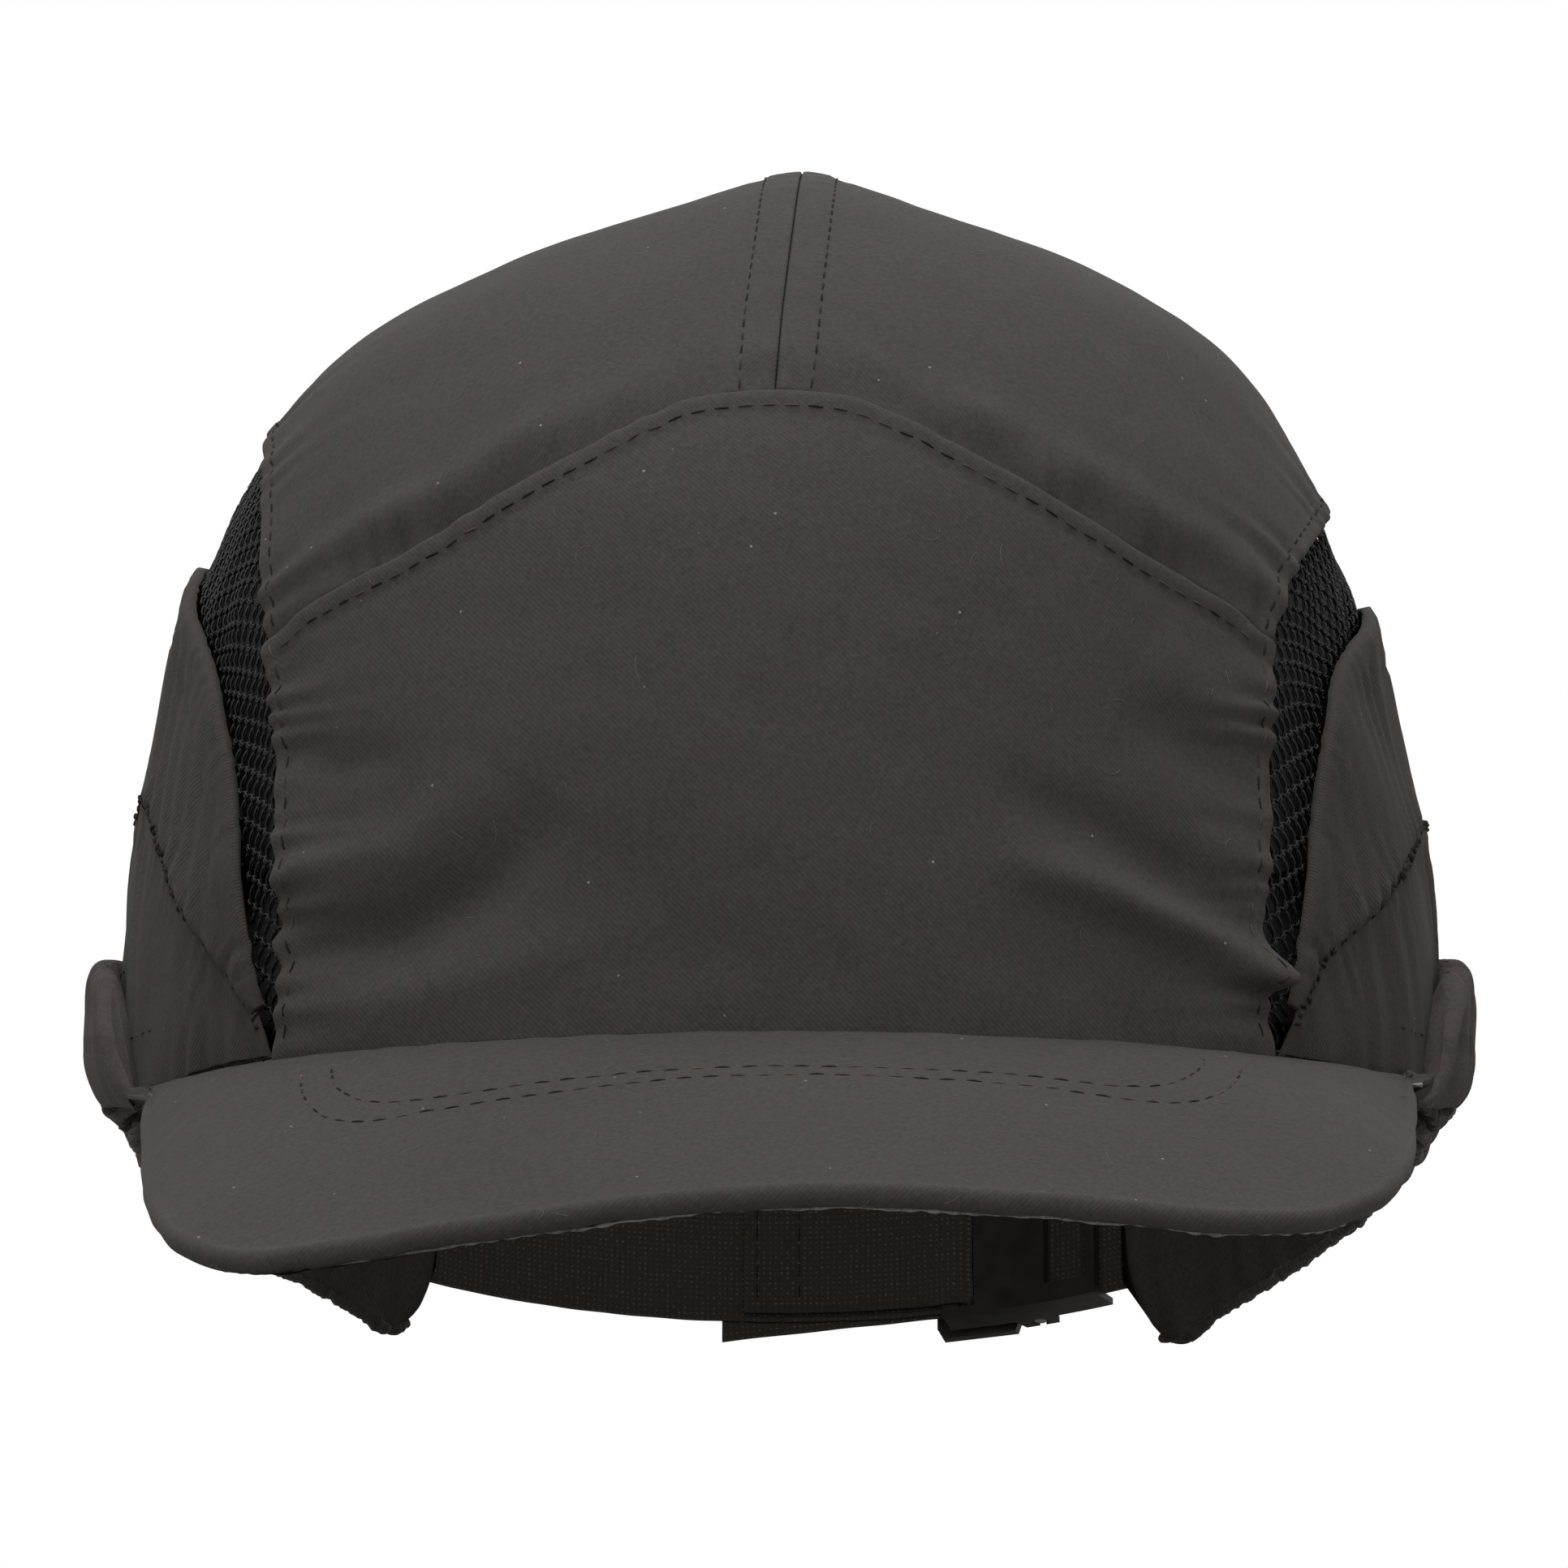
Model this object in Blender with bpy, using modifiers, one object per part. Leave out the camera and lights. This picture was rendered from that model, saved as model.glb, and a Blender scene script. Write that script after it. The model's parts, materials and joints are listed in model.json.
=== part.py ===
# Bump cap: a fabric baseball-style cap over a moulded inner shell, with a short
# peak, a padded sweatband and an elastic rear strap held by a cam-lever buckle.
#
# Frame: +Z up, the peak points along -Y, +X is to the right of someone who faces
# the peak. The cap rests on z = 0 by its two peak tips and two rear corners, and
# the origin is the middle of the bottom of its bounding box.
# The sewing geometry is worked out in the cap frame, whose Y = 0 is the ear plane;
# the empty "cap_frame" carries it to the origin above.

import math

import bmesh
import bpy
from mathutils import Vector

mm = 0.001

# ---------------------------------------------------------------- driving sizes
crown_height = 158.5 * mm        # table to the ridge of the crown
half_width = 92.0 * mm           # outside of the fabric at the ears
front_reach = 105.0 * mm         # ear plane to the front hem
back_reach = 105.0 * mm          # ear plane to the back of the crown
fabric = 1.2 * mm                # doubled shell fabric
mesh_fabric = 0.8 * mm           # knitted mesh
seam_gap = 0.8 * mm              # between neighbouring panels, edge to edge
layer_gap = 0.4 * mm             # between layers that lie on each other

front_hem_height = 33.8 * mm     # hem above the table at the centre front
corner_hem_height = 30.4 * mm    # at the corners of the peak
ear_hem_height = 28.4 * mm       # at the ears
peak_half_angle = math.radians(66.0)

# fabric face to the outside of the inner shell: a taller crown has a sharper ridge to clear
shell_inset = 3.0 * mm * crown_height / (158.5 * mm)
shell_wall = 2.0 * mm
pad_gap = 0.8 * mm
pad_thickness = 5.0 * mm
tape_width = 12.0 * mm
tape_thickness = 0.5 * mm
sweatband_height = 31.0 * mm
sweatband_skin = 1.0 * mm
sweatband_foam_thickness = 2.2 * mm
binding_width = 3.0 * mm
binding_thickness = 2.0 * mm

peak_length = 52.5 * mm          # front hem to the front edge, in plan
peak_tip_drop = 3.9 * mm         # top of the peak above the table at its tips
peak_arch = 7.0 * mm             # centre of the front edge above the tips
peak_bulge = 1.6 * mm
peak_cover = 0.7 * mm
peak_board_thickness = 2.0 * mm
peak_rim = 1.6 * mm              # board edge back from the cover's rolled edge
peak_lip = 3.2 * mm              # how far the top cover turns down at the edge

band_tilt = math.radians(20.0)   # plane of the rear strap, down towards the back
band_centre = Vector((0.0, 8.0 * mm, 47.5 * mm))
strap_width = 25.0 * mm
strap_thickness = 1.2 * mm
left_strap_radius = 91.9 * mm
strap_clearance = 0.5 * mm       # strap to its neighbours, face to face
loop_bend = 1.7 * mm             # middle of the webbing round the buckle's bar
strap_loop_return = 31.5 * mm    # sewn return of the left strap
tail_end = -5.1                  # degrees, from the centre of the back
tail_sag = 2.6 * mm
hidden_strap_end = 60.0          # degrees, inside the right casing

casing_end = 33.0                # degrees from the centre back, each side
casing_channel_end = 67.0
casing_wall = 1.9 * mm
casing_front_height = 22.0 * mm
casing_rear_rise = 16.5 * mm
casing_foot = 3.4 * mm           # width of the flat under each rear corner

buckle_wall = 1.0 * mm
buckle_bar = 2.5 * mm
buckle_bar_thickness = 1.6 * mm
buckle_side_clearance = 0.5 * mm
buckle_plate_length = 11.0 * mm
buckle_window_length = 6.6 * mm
buckle_end_bar = 1.6 * mm
buckle_hole_diameter = 2.2 * mm
pin_diameter = 1.8 * mm
pin_clearance = 0.3 * mm
lever_hub_wall = 0.6 * mm
lever_thickness = 1.5 * mm
lever_overhang = 2.6 * mm        # lever past the frame's end

# ----------------------------------------------------- values that follow from them
peak_reach = front_reach + peak_length
cap_centre_y = (peak_reach - back_reach + 1.5 * mm) / 2.0
right_strap_radius = left_strap_radius + strap_thickness + strap_clearance
hem_inside = Vector((0.0, 0.0, 0.4 * crown_height))

# Profiles from the crown's ridge down to the table, as (reach, drop) shares of the
# plan size and the crown height. The sides slope like a roof before they round over.
side_profile = [(0, 0), (0.076, 0.010), (0.25, 0.051), (0.489, 0.097), (0.679, 0.168),
                (0.804, 0.274), (0.878, 0.375), (0.922, 0.486), (0.967, 0.599),
                (0.996, 0.694), (1.0, 0.823), (0.989, 1.0)]
front_profile = [(0, 0), (0.286, 0.038), (0.524, 0.114), (0.714, 0.2145), (0.829, 0.315),
                 (0.905, 0.442), (0.952, 0.568), (0.981, 0.694), (1.0, 0.823), (1.01, 1.0)]
back_profile = [(0, 0), (0.286, 0.022), (0.552, 0.076), (0.781, 0.189), (0.905, 0.341),
                (0.962, 0.505), (0.986, 0.631), (0.976, 0.726), (0.952, 0.801),
                (0.924, 0.883), (0.895, 1.0)]

# Seams on the right-hand side, as (azimuth in degrees from the centre front, height
# as a share of the crown height). The left-hand seams mirror them.
arch_seam = [(0, 0.748), (8, 0.741), (20, 0.692), (35, 0.622), (51.5, 0.551)]
front_side_seam = [(44.8, 0.2), (45.0, 0.29), (48.0, 0.424), (51.5, 0.551)]
crown_side_seam = [(51.5, 0.551), (59.5, 0.643), (75, 0.722), (90, 0.741), (115, 0.713),
                   (138, 0.612), (154, 0.48), (163, 0.394)]
mesh_low_edge = [(47.2, 0.2), (47.8, 0.24)]
mesh_rear_edge = [(47.8, 0.24), (49.5, 0.303), (53.5, 0.41), (61.3, 0.522), (75, 0.612),
                  (90, 0.65), (115, 0.618), (135, 0.517), (147, 0.397), (151.5, 0.328)]
band_seam = [(47.8, 0.24), (51, 0.274), (57, 0.322), (66, 0.385), (78, 0.432),
             (96, 0.426), (115, 0.404), (130, 0.363), (141, 0.302), (146.2, 0.25)]
arch_low = [(146.7, 0.242), (148.5, 0.284), (151.5, 0.328)]
arch_middle = [(151.5, 0.328), (157, 0.369), (163, 0.394)]
arch_top = [(163, 0.394), (171, 0.412), (180, 0.416)]

charcoal = (0.052, 0.047, 0.045, 1.0)
black = (0.012, 0.011, 0.010, 1.0)

# ---------------------------------------------------------------- scene and helpers
for old in list(bpy.data.objects):
    bpy.data.objects.remove(old, do_unlink=True)

cap = bpy.data.collections.new("bump_cap")
cutters = bpy.data.collections.new("cutters")
bpy.context.scene.collection.children.link(cap)
bpy.context.scene.collection.children.link(cutters)


def new_empty(name, location, parent=None, tilt=0.0):
    """An empty that carries pieces: a frame or a joint's axis."""
    empty = bpy.data.objects.new(name, None)
    empty.location = location
    empty.rotation_euler = (tilt, 0.0, 0.0)
    empty.parent = parent
    cap.objects.link(empty)
    return empty


cap_frame = new_empty("cap_frame", (0.0, cap_centre_y, 0.0))
# Local Z is the axis that the strap bends round, local +Y the centre of the back.
band_axis = new_empty("band_axis", band_centre, cap_frame, -band_tilt)


def finish(name, mesh, colour, roughness, parent=cap_frame, metallic=0.0):
    """Gives a mesh its object, material and smooth shading."""
    thing = bpy.data.objects.new(name, mesh)
    cap.objects.link(thing)
    thing.parent = parent
    material = bpy.data.materials.new(name)
    material.use_nodes = True
    shader = material.node_tree.nodes["Principled BSDF"]
    shader.inputs["Base Color"].default_value = colour
    shader.inputs["Roughness"].default_value = roughness
    shader.inputs["Metallic"].default_value = metallic
    mesh.materials.append(material)
    mesh.shade_smooth()
    mesh.set_sharp_from_angle(angle=math.radians(35.0))
    return thing


def smooth_through(points, steps=16, mirror_start=False):
    """A centripetal Catmull-Rom curve through the points."""
    points = [Vector(p) for p in points]
    before = 2.0 * points[0] - points[1]
    if mirror_start:
        before = Vector((-points[1][0], *points[1][1:]))
    chain = [before, *points, 2.0 * points[-1] - points[-2]]
    curve = []
    for p0, p1, p2, p3 in zip(chain, chain[1:], chain[2:], chain[3:]):
        k1, k2, k3 = (math.sqrt((b - a).length) for a, b in ((p0, p1), (p1, p2), (p2, p3)))
        m1 = ((p1 - p0) / k1 - (p2 - p0) / (k1 + k2) + (p2 - p1) / k2) * k2
        m2 = ((p2 - p1) / k2 - (p3 - p1) / (k2 + k3) + (p3 - p2) / k3) * k2
        for i in range(steps):
            t = i / steps
            curve.append((2 * t**3 - 3 * t**2 + 1) * p1 + (t**3 - 2 * t**2 + t) * m1
                         + (3 * t**2 - 2 * t**3) * p2 + (t**3 - t**2) * m2)
    curve.append(points[-1])
    return curve


def spread(curve, count):
    """The curve as count + 1 points at even distances."""
    lengths = [0.0]
    for a, b in zip(curve, curve[1:]):
        lengths.append(lengths[-1] + (b - a).length)
    result = []
    k = 0
    for i in range(count + 1):
        want = lengths[-1] * i / count
        while k < len(curve) - 2 and lengths[k + 1] < want:
            k += 1
        span = lengths[k + 1] - lengths[k]
        result.append(curve[k].lerp(curve[k + 1], (want - lengths[k]) / span))
    return result


# ---------------------------------------------------------------- the crown's surface
profile_steps = 200


def sized_profile(shares, reach):
    sized = [(across * reach, drop * crown_height) for across, drop in shares]
    return spread(smooth_through(sized, mirror_start=True), profile_steps)


side_curve = sized_profile(side_profile, half_width)
front_curve = sized_profile(front_profile, front_reach)
back_curve = sized_profile(back_profile, back_reach)


def at(curve, t):
    place = min(max(t, 0.0), 1.0) * profile_steps
    k = min(int(place), profile_steps - 1)
    return curve[k].lerp(curve[k + 1], place - k)


def crown_point(azimuth, t):
    """Outside of the fabric; t runs from 0 at the ridge to 1 at the table."""
    across, along = math.sin(azimuth), math.cos(azimuth)
    side = at(side_curve, t)
    end = at(front_curve if along > 0.0 else back_curve, t)
    drop = side[1] * across**2 + end[1] * along**2
    return Vector((side[0] * across, -end[0] * along, crown_height - drop))


def crown_normal(azimuth, t):
    """Outward normal, from points 1 mm or so to each side."""
    t = max(t, 0.012)
    step_t, step_a = 0.006, 0.02
    down = crown_point(azimuth, min(t + step_t, 1.0)) - crown_point(azimuth, t - step_t)
    round_it = crown_point(azimuth + step_a, t) - crown_point(azimuth - step_a, t)
    return down.cross(round_it).normalized()


def inside_crown(azimuth, t, inset):
    return crown_point(azimuth, t) - crown_normal(azimuth, t) * inset


def t_at_height(azimuth, height):
    low, high = 0.0, 1.0
    for _ in range(32):
        middle = (low + high) / 2.0
        if crown_point(azimuth, middle).z > height:
            low = middle
        else:
            high = middle
    return (low + high) / 2.0


def disc(azimuth, t):
    """The crown laid out flat: the ridge's top at the middle, the table at radius 1."""
    return Vector((t * math.sin(azimuth), -t * math.cos(azimuth)))


def disc_polar(place):
    return math.atan2(place.x, -place.y), place.length


def hem_height(azimuth):
    """Height of the hem from the centre front to the ear."""
    share = min(abs(azimuth) / peak_half_angle, 1.0)
    front = front_hem_height + (corner_hem_height - front_hem_height) * share**2
    past = max(abs(azimuth) - peak_half_angle, 0.0) / (math.pi / 2.0 - peak_half_angle)
    return front + (ear_hem_height - corner_hem_height) * min(past, 1.0)


def hem_seam(start, end, steps=24):
    """The hem between two azimuths, in degrees."""
    places = []
    for i in range(steps + 1):
        azimuth = math.radians(start + (end - start) * i / steps)
        places.append(disc(azimuth, t_at_height(azimuth, hem_height(azimuth))))
    return places


def seam(points):
    """A seam through (azimuth, height share) points, as a curve on the disc."""
    places = []
    for degrees, share in points:
        azimuth = math.radians(degrees)
        places.append(disc(azimuth, t_at_height(azimuth, share * crown_height)))
    return smooth_through(places)


# ---------------------------------------------------------------- panels
def coons(bottom, top, left, right, across, up):
    """A grid of disc places between four edges that share their corners."""
    bottom, top = spread(bottom, across), spread(top, across)
    left, right = spread(left, up), spread(right, up)
    grid = []
    for j in range(up + 1):
        v = j / up
        row = []
        for i in range(across + 1):
            u = i / across
            ruled = (1 - v) * bottom[i] + v * top[i] + (1 - u) * left[j] + u * right[j]
            corners = ((1 - v) * ((1 - u) * bottom[0] + u * bottom[-1])
                       + v * ((1 - u) * top[0] + u * top[-1]))
            row.append(ruled - corners)
        grid.append(row)
    return grid


def draw_in(grid, gap):
    """Moves a grid's border inwards, so that panels keep a gap at their seams."""
    rows, columns = len(grid), len(grid[0])
    moved = [[Vector(p) for p in row] for row in grid]
    for j in range(rows):
        for i, inner in ((0, 1), (columns - 1, columns - 2)):
            moved[j][i] += (grid[j][inner] - grid[j][i]).normalized() * gap
    for i in range(columns):
        for j, inner in ((0, 1), (rows - 1, rows - 2)):
            moved[j][i] += (grid[inner][i] - grid[j][i]).normalized() * gap
    return moved


def grid_mesh(name, grid, side=1, inside=hem_inside):
    """An open surface over a grid of points, facing away from the inside point."""
    shape = bmesh.new()
    rows = [[shape.verts.new((p.x * side, p.y, p.z)) for p in row] for row in grid]
    for low, high in zip(rows, rows[1:]):
        for i in range(len(low) - 1):
            shape.faces.new((low[i], low[i + 1], high[i + 1], high[i]))
    shape.normal_update()
    turned = sum(f.normal.dot(f.calc_center_median() - inside) for f in shape.faces)
    if turned < 0.0:
        bmesh.ops.reverse_faces(shape, faces=shape.faces[:])
    mesh = bpy.data.meshes.new(name)
    shape.to_mesh(mesh)
    shape.free()
    return mesh


def thicken(thing, thickness):
    """Solidify inwards from the outer face."""
    wall = thing.modifiers.new("thickness", "SOLIDIFY")
    wall.thickness = thickness
    wall.offset = -1.0
    wall.use_even_offset = True
    return thing


def on_crown(grid, inset):
    return [[inside_crown(*disc_polar(place), inset) for place in row] for row in grid]


def panel(name, places, thickness, side=1, inset=0.0, gap=seam_gap / 2.0,
          colour=charcoal, roughness=0.85):
    """A piece of cloth or foam that lies on the crown's surface."""
    points = draw_in(on_crown(places, inset), gap)
    thing = finish(name, grid_mesh(name, points, side), colour, roughness)
    return thicken(thing, thickness)


def mirrored(curve):
    return [Vector((-p.x, p.y)) for p in curve]


def front_panel():
    left_low, left_high = mirrored(seam(front_side_seam)), mirrored(seam(arch_seam))
    hem = hem_seam(-44.8, 44.8)
    hem[0], hem[-1] = left_low[0], seam(front_side_seam)[0]
    arch = left_high[::-1] + seam(arch_seam)[1:]
    panel("front_panel", coons(hem, arch, left_low, seam(front_side_seam), 18, 8), fabric)


def crown_panels(side, name):
    centre = [disc(0.0, t_at_height(0.0, arch_seam[0][1] * crown_height)),
              disc(math.pi, t_at_height(math.pi, arch_top[-1][1] * crown_height))]
    outer = seam(crown_side_seam)
    places = coons(centre, outer, seam(arch_seam), seam(arch_top)[::-1], 20, 8)
    panel("crown_panel_" + name, places, fabric, side)


def mesh_panels(side, name):
    outer = seam(front_side_seam) + seam(crown_side_seam)[1:]
    inner = seam(mesh_low_edge) + seam(mesh_rear_edge)[1:]
    low = [outer[0], inner[0]]
    places = coons(outer, inner, low, seam(arch_middle)[::-1], 26, 2)
    panel("mesh_panel_" + name, places, mesh_fabric, side, colour=black, roughness=0.7)


def side_panels(side, name):
    """The panel tapers to a point low at the front, where it starts a few mm wide."""
    skip = 8
    low, high = seam(band_seam)[skip:], seam(mesh_rear_edge)[skip:]
    rear_low = [low[-1], *seam(arch_low)[4:]]
    places = coons(low, high, [low[0], high[0]], rear_low, 22, 5)
    panel("side_panel_" + name, places, fabric, side)


def ear_bands(side, name):
    """Above the hem in front of the ear, above the rear casing behind it."""
    ear = 86.0
    top = seam(band_seam)[:-24]
    low_front = hem_seam(47.2, ear)
    low_places = spread(low_front, 9) + spread(seam(casing_line()), 12)
    high_places = spread(top, len(low_places) - 1)
    places = [[low.lerp(high, j / 4.0) for low, high in zip(low_places, high_places)]
              for j in range(5)]
    panel("ear_band_" + name, places, fabric, side)


def crown_seam_tape():
    half = tape_width / (2.0 * half_width)
    first = t_at_height(0.0, arch_seam[0][1] * crown_height)
    last = t_at_height(math.pi, arch_top[-1][1] * crown_height)
    rows = [[Vector((x * half, -first + (last + first) * i / 22)) for i in range(23)]
            for x in (-1.0, 0.0, 1.0)]
    panel("crown_seam_tape", rows, tape_thickness, inset=fabric + layer_gap,
          gap=2.0 * mm, colour=black)


def rear_opening_binding():
    right = seam(arch_low) + seam(arch_middle)[1:] + seam(arch_top)[1:]
    arch = spread(right + mirrored(right)[::-1][1:], 26)
    outset = (binding_thickness - fabric) / 2.0
    edge = [inside_crown(*disc_polar(p), -outset) for p in arch]
    normals = [crown_normal(*disc_polar(p)) for p in arch]
    rows = [[], []]
    for i, place in enumerate(edge):
        along = (edge[min(i + 1, 26)] - edge[max(i - 1, 0)]).normalized()
        inward = along.cross(normals[i])
        if inward.dot(edge[13] - Vector((0, 0, 2 * crown_height)) - place) < 0.0:
            inward = -inward
        rows[0].append(place + inward * seam_gap / 2.0)
        rows[1].append(place + inward * binding_width)
    mesh = grid_mesh("rear_opening_binding", rows)
    thicken(finish("rear_opening_binding", mesh, black, 0.85), binding_thickness)


# ---------------------------------------------------------------- inner shell and pads
shell_columns = 40
shell_rings = 12
vent_columns = (9, 11, 13)


def shell_edge_height(azimuth):
    """Short over the ears, so that the shell clears them, and longer in front."""
    front, ear, rear = 46.0 * mm, 66.0 * mm, 67.5 * mm
    share = math.sin(azimuth) ** 2
    end = front if math.cos(azimuth) > 0.0 else rear
    return ear * share + end * (1.0 - share)


def bump_shell():
    """A moulded dome. Windows under the mesh panels let air through."""
    shape = bmesh.new()
    top = shape.verts.new(inside_crown(0.0, 0.0, shell_inset))
    rings = []
    for j in range(1, shell_rings + 1):
        ring = []
        for i in range(shell_columns):
            azimuth = 2.0 * math.pi * i / shell_columns
            t = t_at_height(azimuth, shell_edge_height(azimuth)) * j / shell_rings
            ring.append(shape.verts.new(inside_crown(azimuth, t, shell_inset)))
        rings.append(ring)
    vents = {(8, i) for i in vent_columns} | {(8, shell_columns - 1 - i) for i in vent_columns}
    for i in range(shell_columns):
        following = (i + 1) % shell_columns
        shape.faces.new((top, rings[0][i], rings[0][following]))
        for j in range(shell_rings - 1):
            if (j, i) not in vents:
                shape.faces.new((rings[j][i], rings[j + 1][i],
                                 rings[j + 1][following], rings[j][following]))
    shape.normal_update()
    shape.faces.ensure_lookup_table()
    if shape.faces[0].normal.z < 0.0:
        bmesh.ops.reverse_faces(shape, faces=shape.faces[:])
    mesh = bpy.data.meshes.new("bump_shell")
    shape.to_mesh(mesh)
    shape.free()
    thicken(finish("bump_shell", mesh, black, 0.45), shell_wall)


pad_inset = shell_inset + shell_wall + pad_gap


def wall_pad(name, side, start, end, low, high, columns=10):
    """A rounded foam pad between two azimuths and two heights."""
    rows = []
    for j in range(5):
        row = []
        for i in range(columns + 1):
            u = 2.0 * i / columns - 1.0
            v = 2.0 * j / 4.0 - 1.0
            squeeze = 1.0 - 0.22 * v * v
            azimuth = math.radians((start + end) / 2.0 + (end - start) / 2.0 * u * squeeze)
            height = (low + high) / 2.0 + (high - low) / 2.0 * v
            row.append(disc(azimuth, t_at_height(azimuth, height)))
        rows.append(row)
    panel(name, rows, pad_thickness, side, pad_inset, 0.0, (0.03, 0.03, 0.033, 1.0), 0.9)


def crown_pad():
    """A rounded oblong of foam under the ridge."""
    half_x, half_y = 0.20, 0.30
    rows = []
    for j in range(9):
        v = 2.0 * j / 8.0 - 1.0
        row = []
        for i in range(9):
            u = 2.0 * i / 8.0 - 1.0
            x = u * math.sqrt(1.0 - 0.42 * v * v)
            y = v * math.sqrt(1.0 - 0.42 * u * u)
            row.append(Vector((half_x * x, half_y * y)))
        rows.append(row)
    panel("crown_pad", rows, pad_thickness, 1, pad_inset, 0.0, (0.03, 0.03, 0.033, 1.0), 0.9)


foam_inset = pad_inset + 0.5 * mm
skin_inset = foam_inset + sweatband_foam_thickness + pad_gap
sweatband_end = math.radians(82.0)


def sweatband_row(inset, rise, trim=0.0):
    """Points round the inside of the hem, at a height above it."""
    row = []
    columns = 26
    for i in range(columns + 1):
        azimuth = (sweatband_end - trim) * (2.0 * i / columns - 1.0)
        t = t_at_height(azimuth, hem_height(azimuth) + rise)
        row.append(inside_crown(azimuth, t, inset))
    return row


def sweatband():
    """Sewn at the hem by a flange, then turned up against the foam."""
    flange = fabric + layer_gap
    rise = 1.0 * mm
    rows = [sweatband_row(flange, rise), sweatband_row(skin_inset, rise),
            sweatband_row(skin_inset, sweatband_height / 2.0),
            sweatband_row(skin_inset, sweatband_height)]
    mesh = grid_mesh("sweatband", rows)
    thicken(finish("sweatband", mesh, (0.02, 0.02, 0.02, 1.0), 0.95), sweatband_skin)

    low, trim = 4.0 * mm, math.radians(2.0)
    rows = [sweatband_row(foam_inset, rise, trim)
            for rise in (low, sweatband_height / 2.0, sweatband_height - 2.0 * mm)]
    mesh = grid_mesh("sweatband_foam", rows)
    thicken(finish("sweatband_foam", mesh, (0.1, 0.1, 0.1, 1.0), 0.95), sweatband_foam_thickness)


def care_label():
    """A blank woven label on the inside of the sweatband."""
    rows = []
    for j in range(3):
        rows.append([])
        for i in range(4):
            azimuth = math.radians(54.0 + 5.0 * i)
            t = t_at_height(azimuth, hem_height(azimuth) + 7.0 * mm + 8.0 * mm * j)
            rows[j].append(inside_crown(azimuth, t, skin_inset + sweatband_skin + layer_gap))
    mesh = grid_mesh("care_label", rows)
    thicken(finish("care_label", mesh, (0.6, 0.6, 0.58, 1.0), 0.8), 0.4 * mm)


# ---------------------------------------------------------------- peak
peak_columns = 26
board_share = 0.93               # of the peak's width, clear of the sewn corners
peak_rows = 5


def peak_root(share):
    """Where the peak meets the hem; share runs from -1 to 1 across it."""
    azimuth = peak_half_angle * share
    t = t_at_height(azimuth, hem_height(azimuth) - layer_gap)
    return inside_crown(azimuth, t, -0.6 * mm)


corner = peak_root(1.0)


def peak_edge_half():
    """The top of the rolled edge, from the side corner to the centre front."""
    tip = peak_tip_drop
    reach = peak_reach
    width = corner.x
    fall = corner.z - tip
    sides = [(0.997, 0.030, 0.985), (0.983, 0.24, 0.77), (0.961, 0.455, 0.522),
             (0.925, 0.63, 0.305), (0.867, 0.778, 0.103), (0.782, 0.865, 0.0)]
    points = [Vector((width * x, corner.y - (reach + corner.y) * y, tip + fall * z))
              for x, y, z in sides]
    points.append(Vector((0.66 * width, -reach + 8.5 * mm, tip + 0.08 * peak_arch)))
    points.append(Vector((0.42 * width, -reach + 2.5 * mm, tip + 0.47 * peak_arch)))
    points.append(Vector((0.0, -reach, tip + peak_arch)))
    return points


edge_half = peak_edge_half()
edge_mirror = [Vector((-p.x, p.y, p.z)) for p in edge_half[:-1]]
edge_steps = 240
peak_edge = spread(smooth_through(edge_mirror + edge_half[::-1]), edge_steps)


def edge_at(share):
    return peak_edge[round((share + 1.0) / 2.0 * edge_steps)]


def below_surface(rows, depth):
    """The grid moved down along its own normals."""
    moved = []
    for j, row in enumerate(rows):
        before, after = rows[max(j - 1, 0)], rows[min(j + 1, len(rows) - 1)]
        moved.append([])
        for i, place in enumerate(row):
            left, right = row[max(i - 1, 0)], row[min(i + 1, len(row) - 1)]
            normal = (right - left).cross(before[i] - after[i]).normalized()
            moved[j].append(place - normal * math.copysign(depth, normal.z))
    return moved


def peak_surface(depth, root_gap, rim, spread_to=1.0):
    """A grid on the peak, depth below its top, cut back at the root, edge and corners."""
    rows = [[] for _ in range(peak_rows + 1)]
    for i in range(peak_columns + 1):
        share = spread_to * (2.0 * i / peak_columns - 1.0)
        root, edge = peak_root(share), edge_at(share)
        span = (edge - root).length
        first = root_gap / span
        last = 1.0 - min(rim, 0.4 * span) / span
        for j in range(peak_rows + 1):
            v = first + (last - first) * j / peak_rows
            arch = peak_bulge * math.sin(math.pi * v) * min(1.0, span / (30.0 * mm))
            rows[j].append(root.lerp(edge, v) + Vector((0.0, 0.0, arch)))
    return below_surface(rows, depth)


def peak():
    below = Vector((0.0, -front_reach, -crown_height))
    rows = peak_surface(0.0, 0.3 * mm, 0.0)
    middle = Vector((0.0, -front_reach * 0.6, 0.0))
    lip = []
    for place in rows[-1]:
        out = place - middle
        out.z = 0.0
        lip.append(place + out.normalized() * 0.5 * mm - Vector((0.0, 0.0, peak_lip)))
    mesh = grid_mesh("peak_top_cover", rows + [lip], inside=below)
    thicken(finish("peak_top_cover", mesh, charcoal, 0.85), peak_cover)

    depth = peak_cover + layer_gap
    rows = peak_surface(depth, 0.6 * mm, peak_rim, board_share)
    mesh = grid_mesh("peak_board", rows, inside=below)
    thicken(finish("peak_board", mesh, (0.05, 0.05, 0.05, 1.0), 0.6), peak_board_thickness)

    depth += peak_board_thickness + layer_gap
    rows = peak_surface(depth, 0.6 * mm, peak_rim, board_share)
    mesh = grid_mesh("peak_under_cover", rows, inside=below)
    thicken(finish("peak_under_cover", mesh, charcoal, 0.85), peak_cover - 0.1 * mm)


# ---------------------------------------------------------------- rear band
def band_point(radius, degrees, up=0.0):
    """A point in the band's own frame: degrees from the centre back, +X first."""
    beta = math.radians(degrees)
    return Vector((radius * math.sin(beta), radius * math.cos(beta), up))


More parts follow.
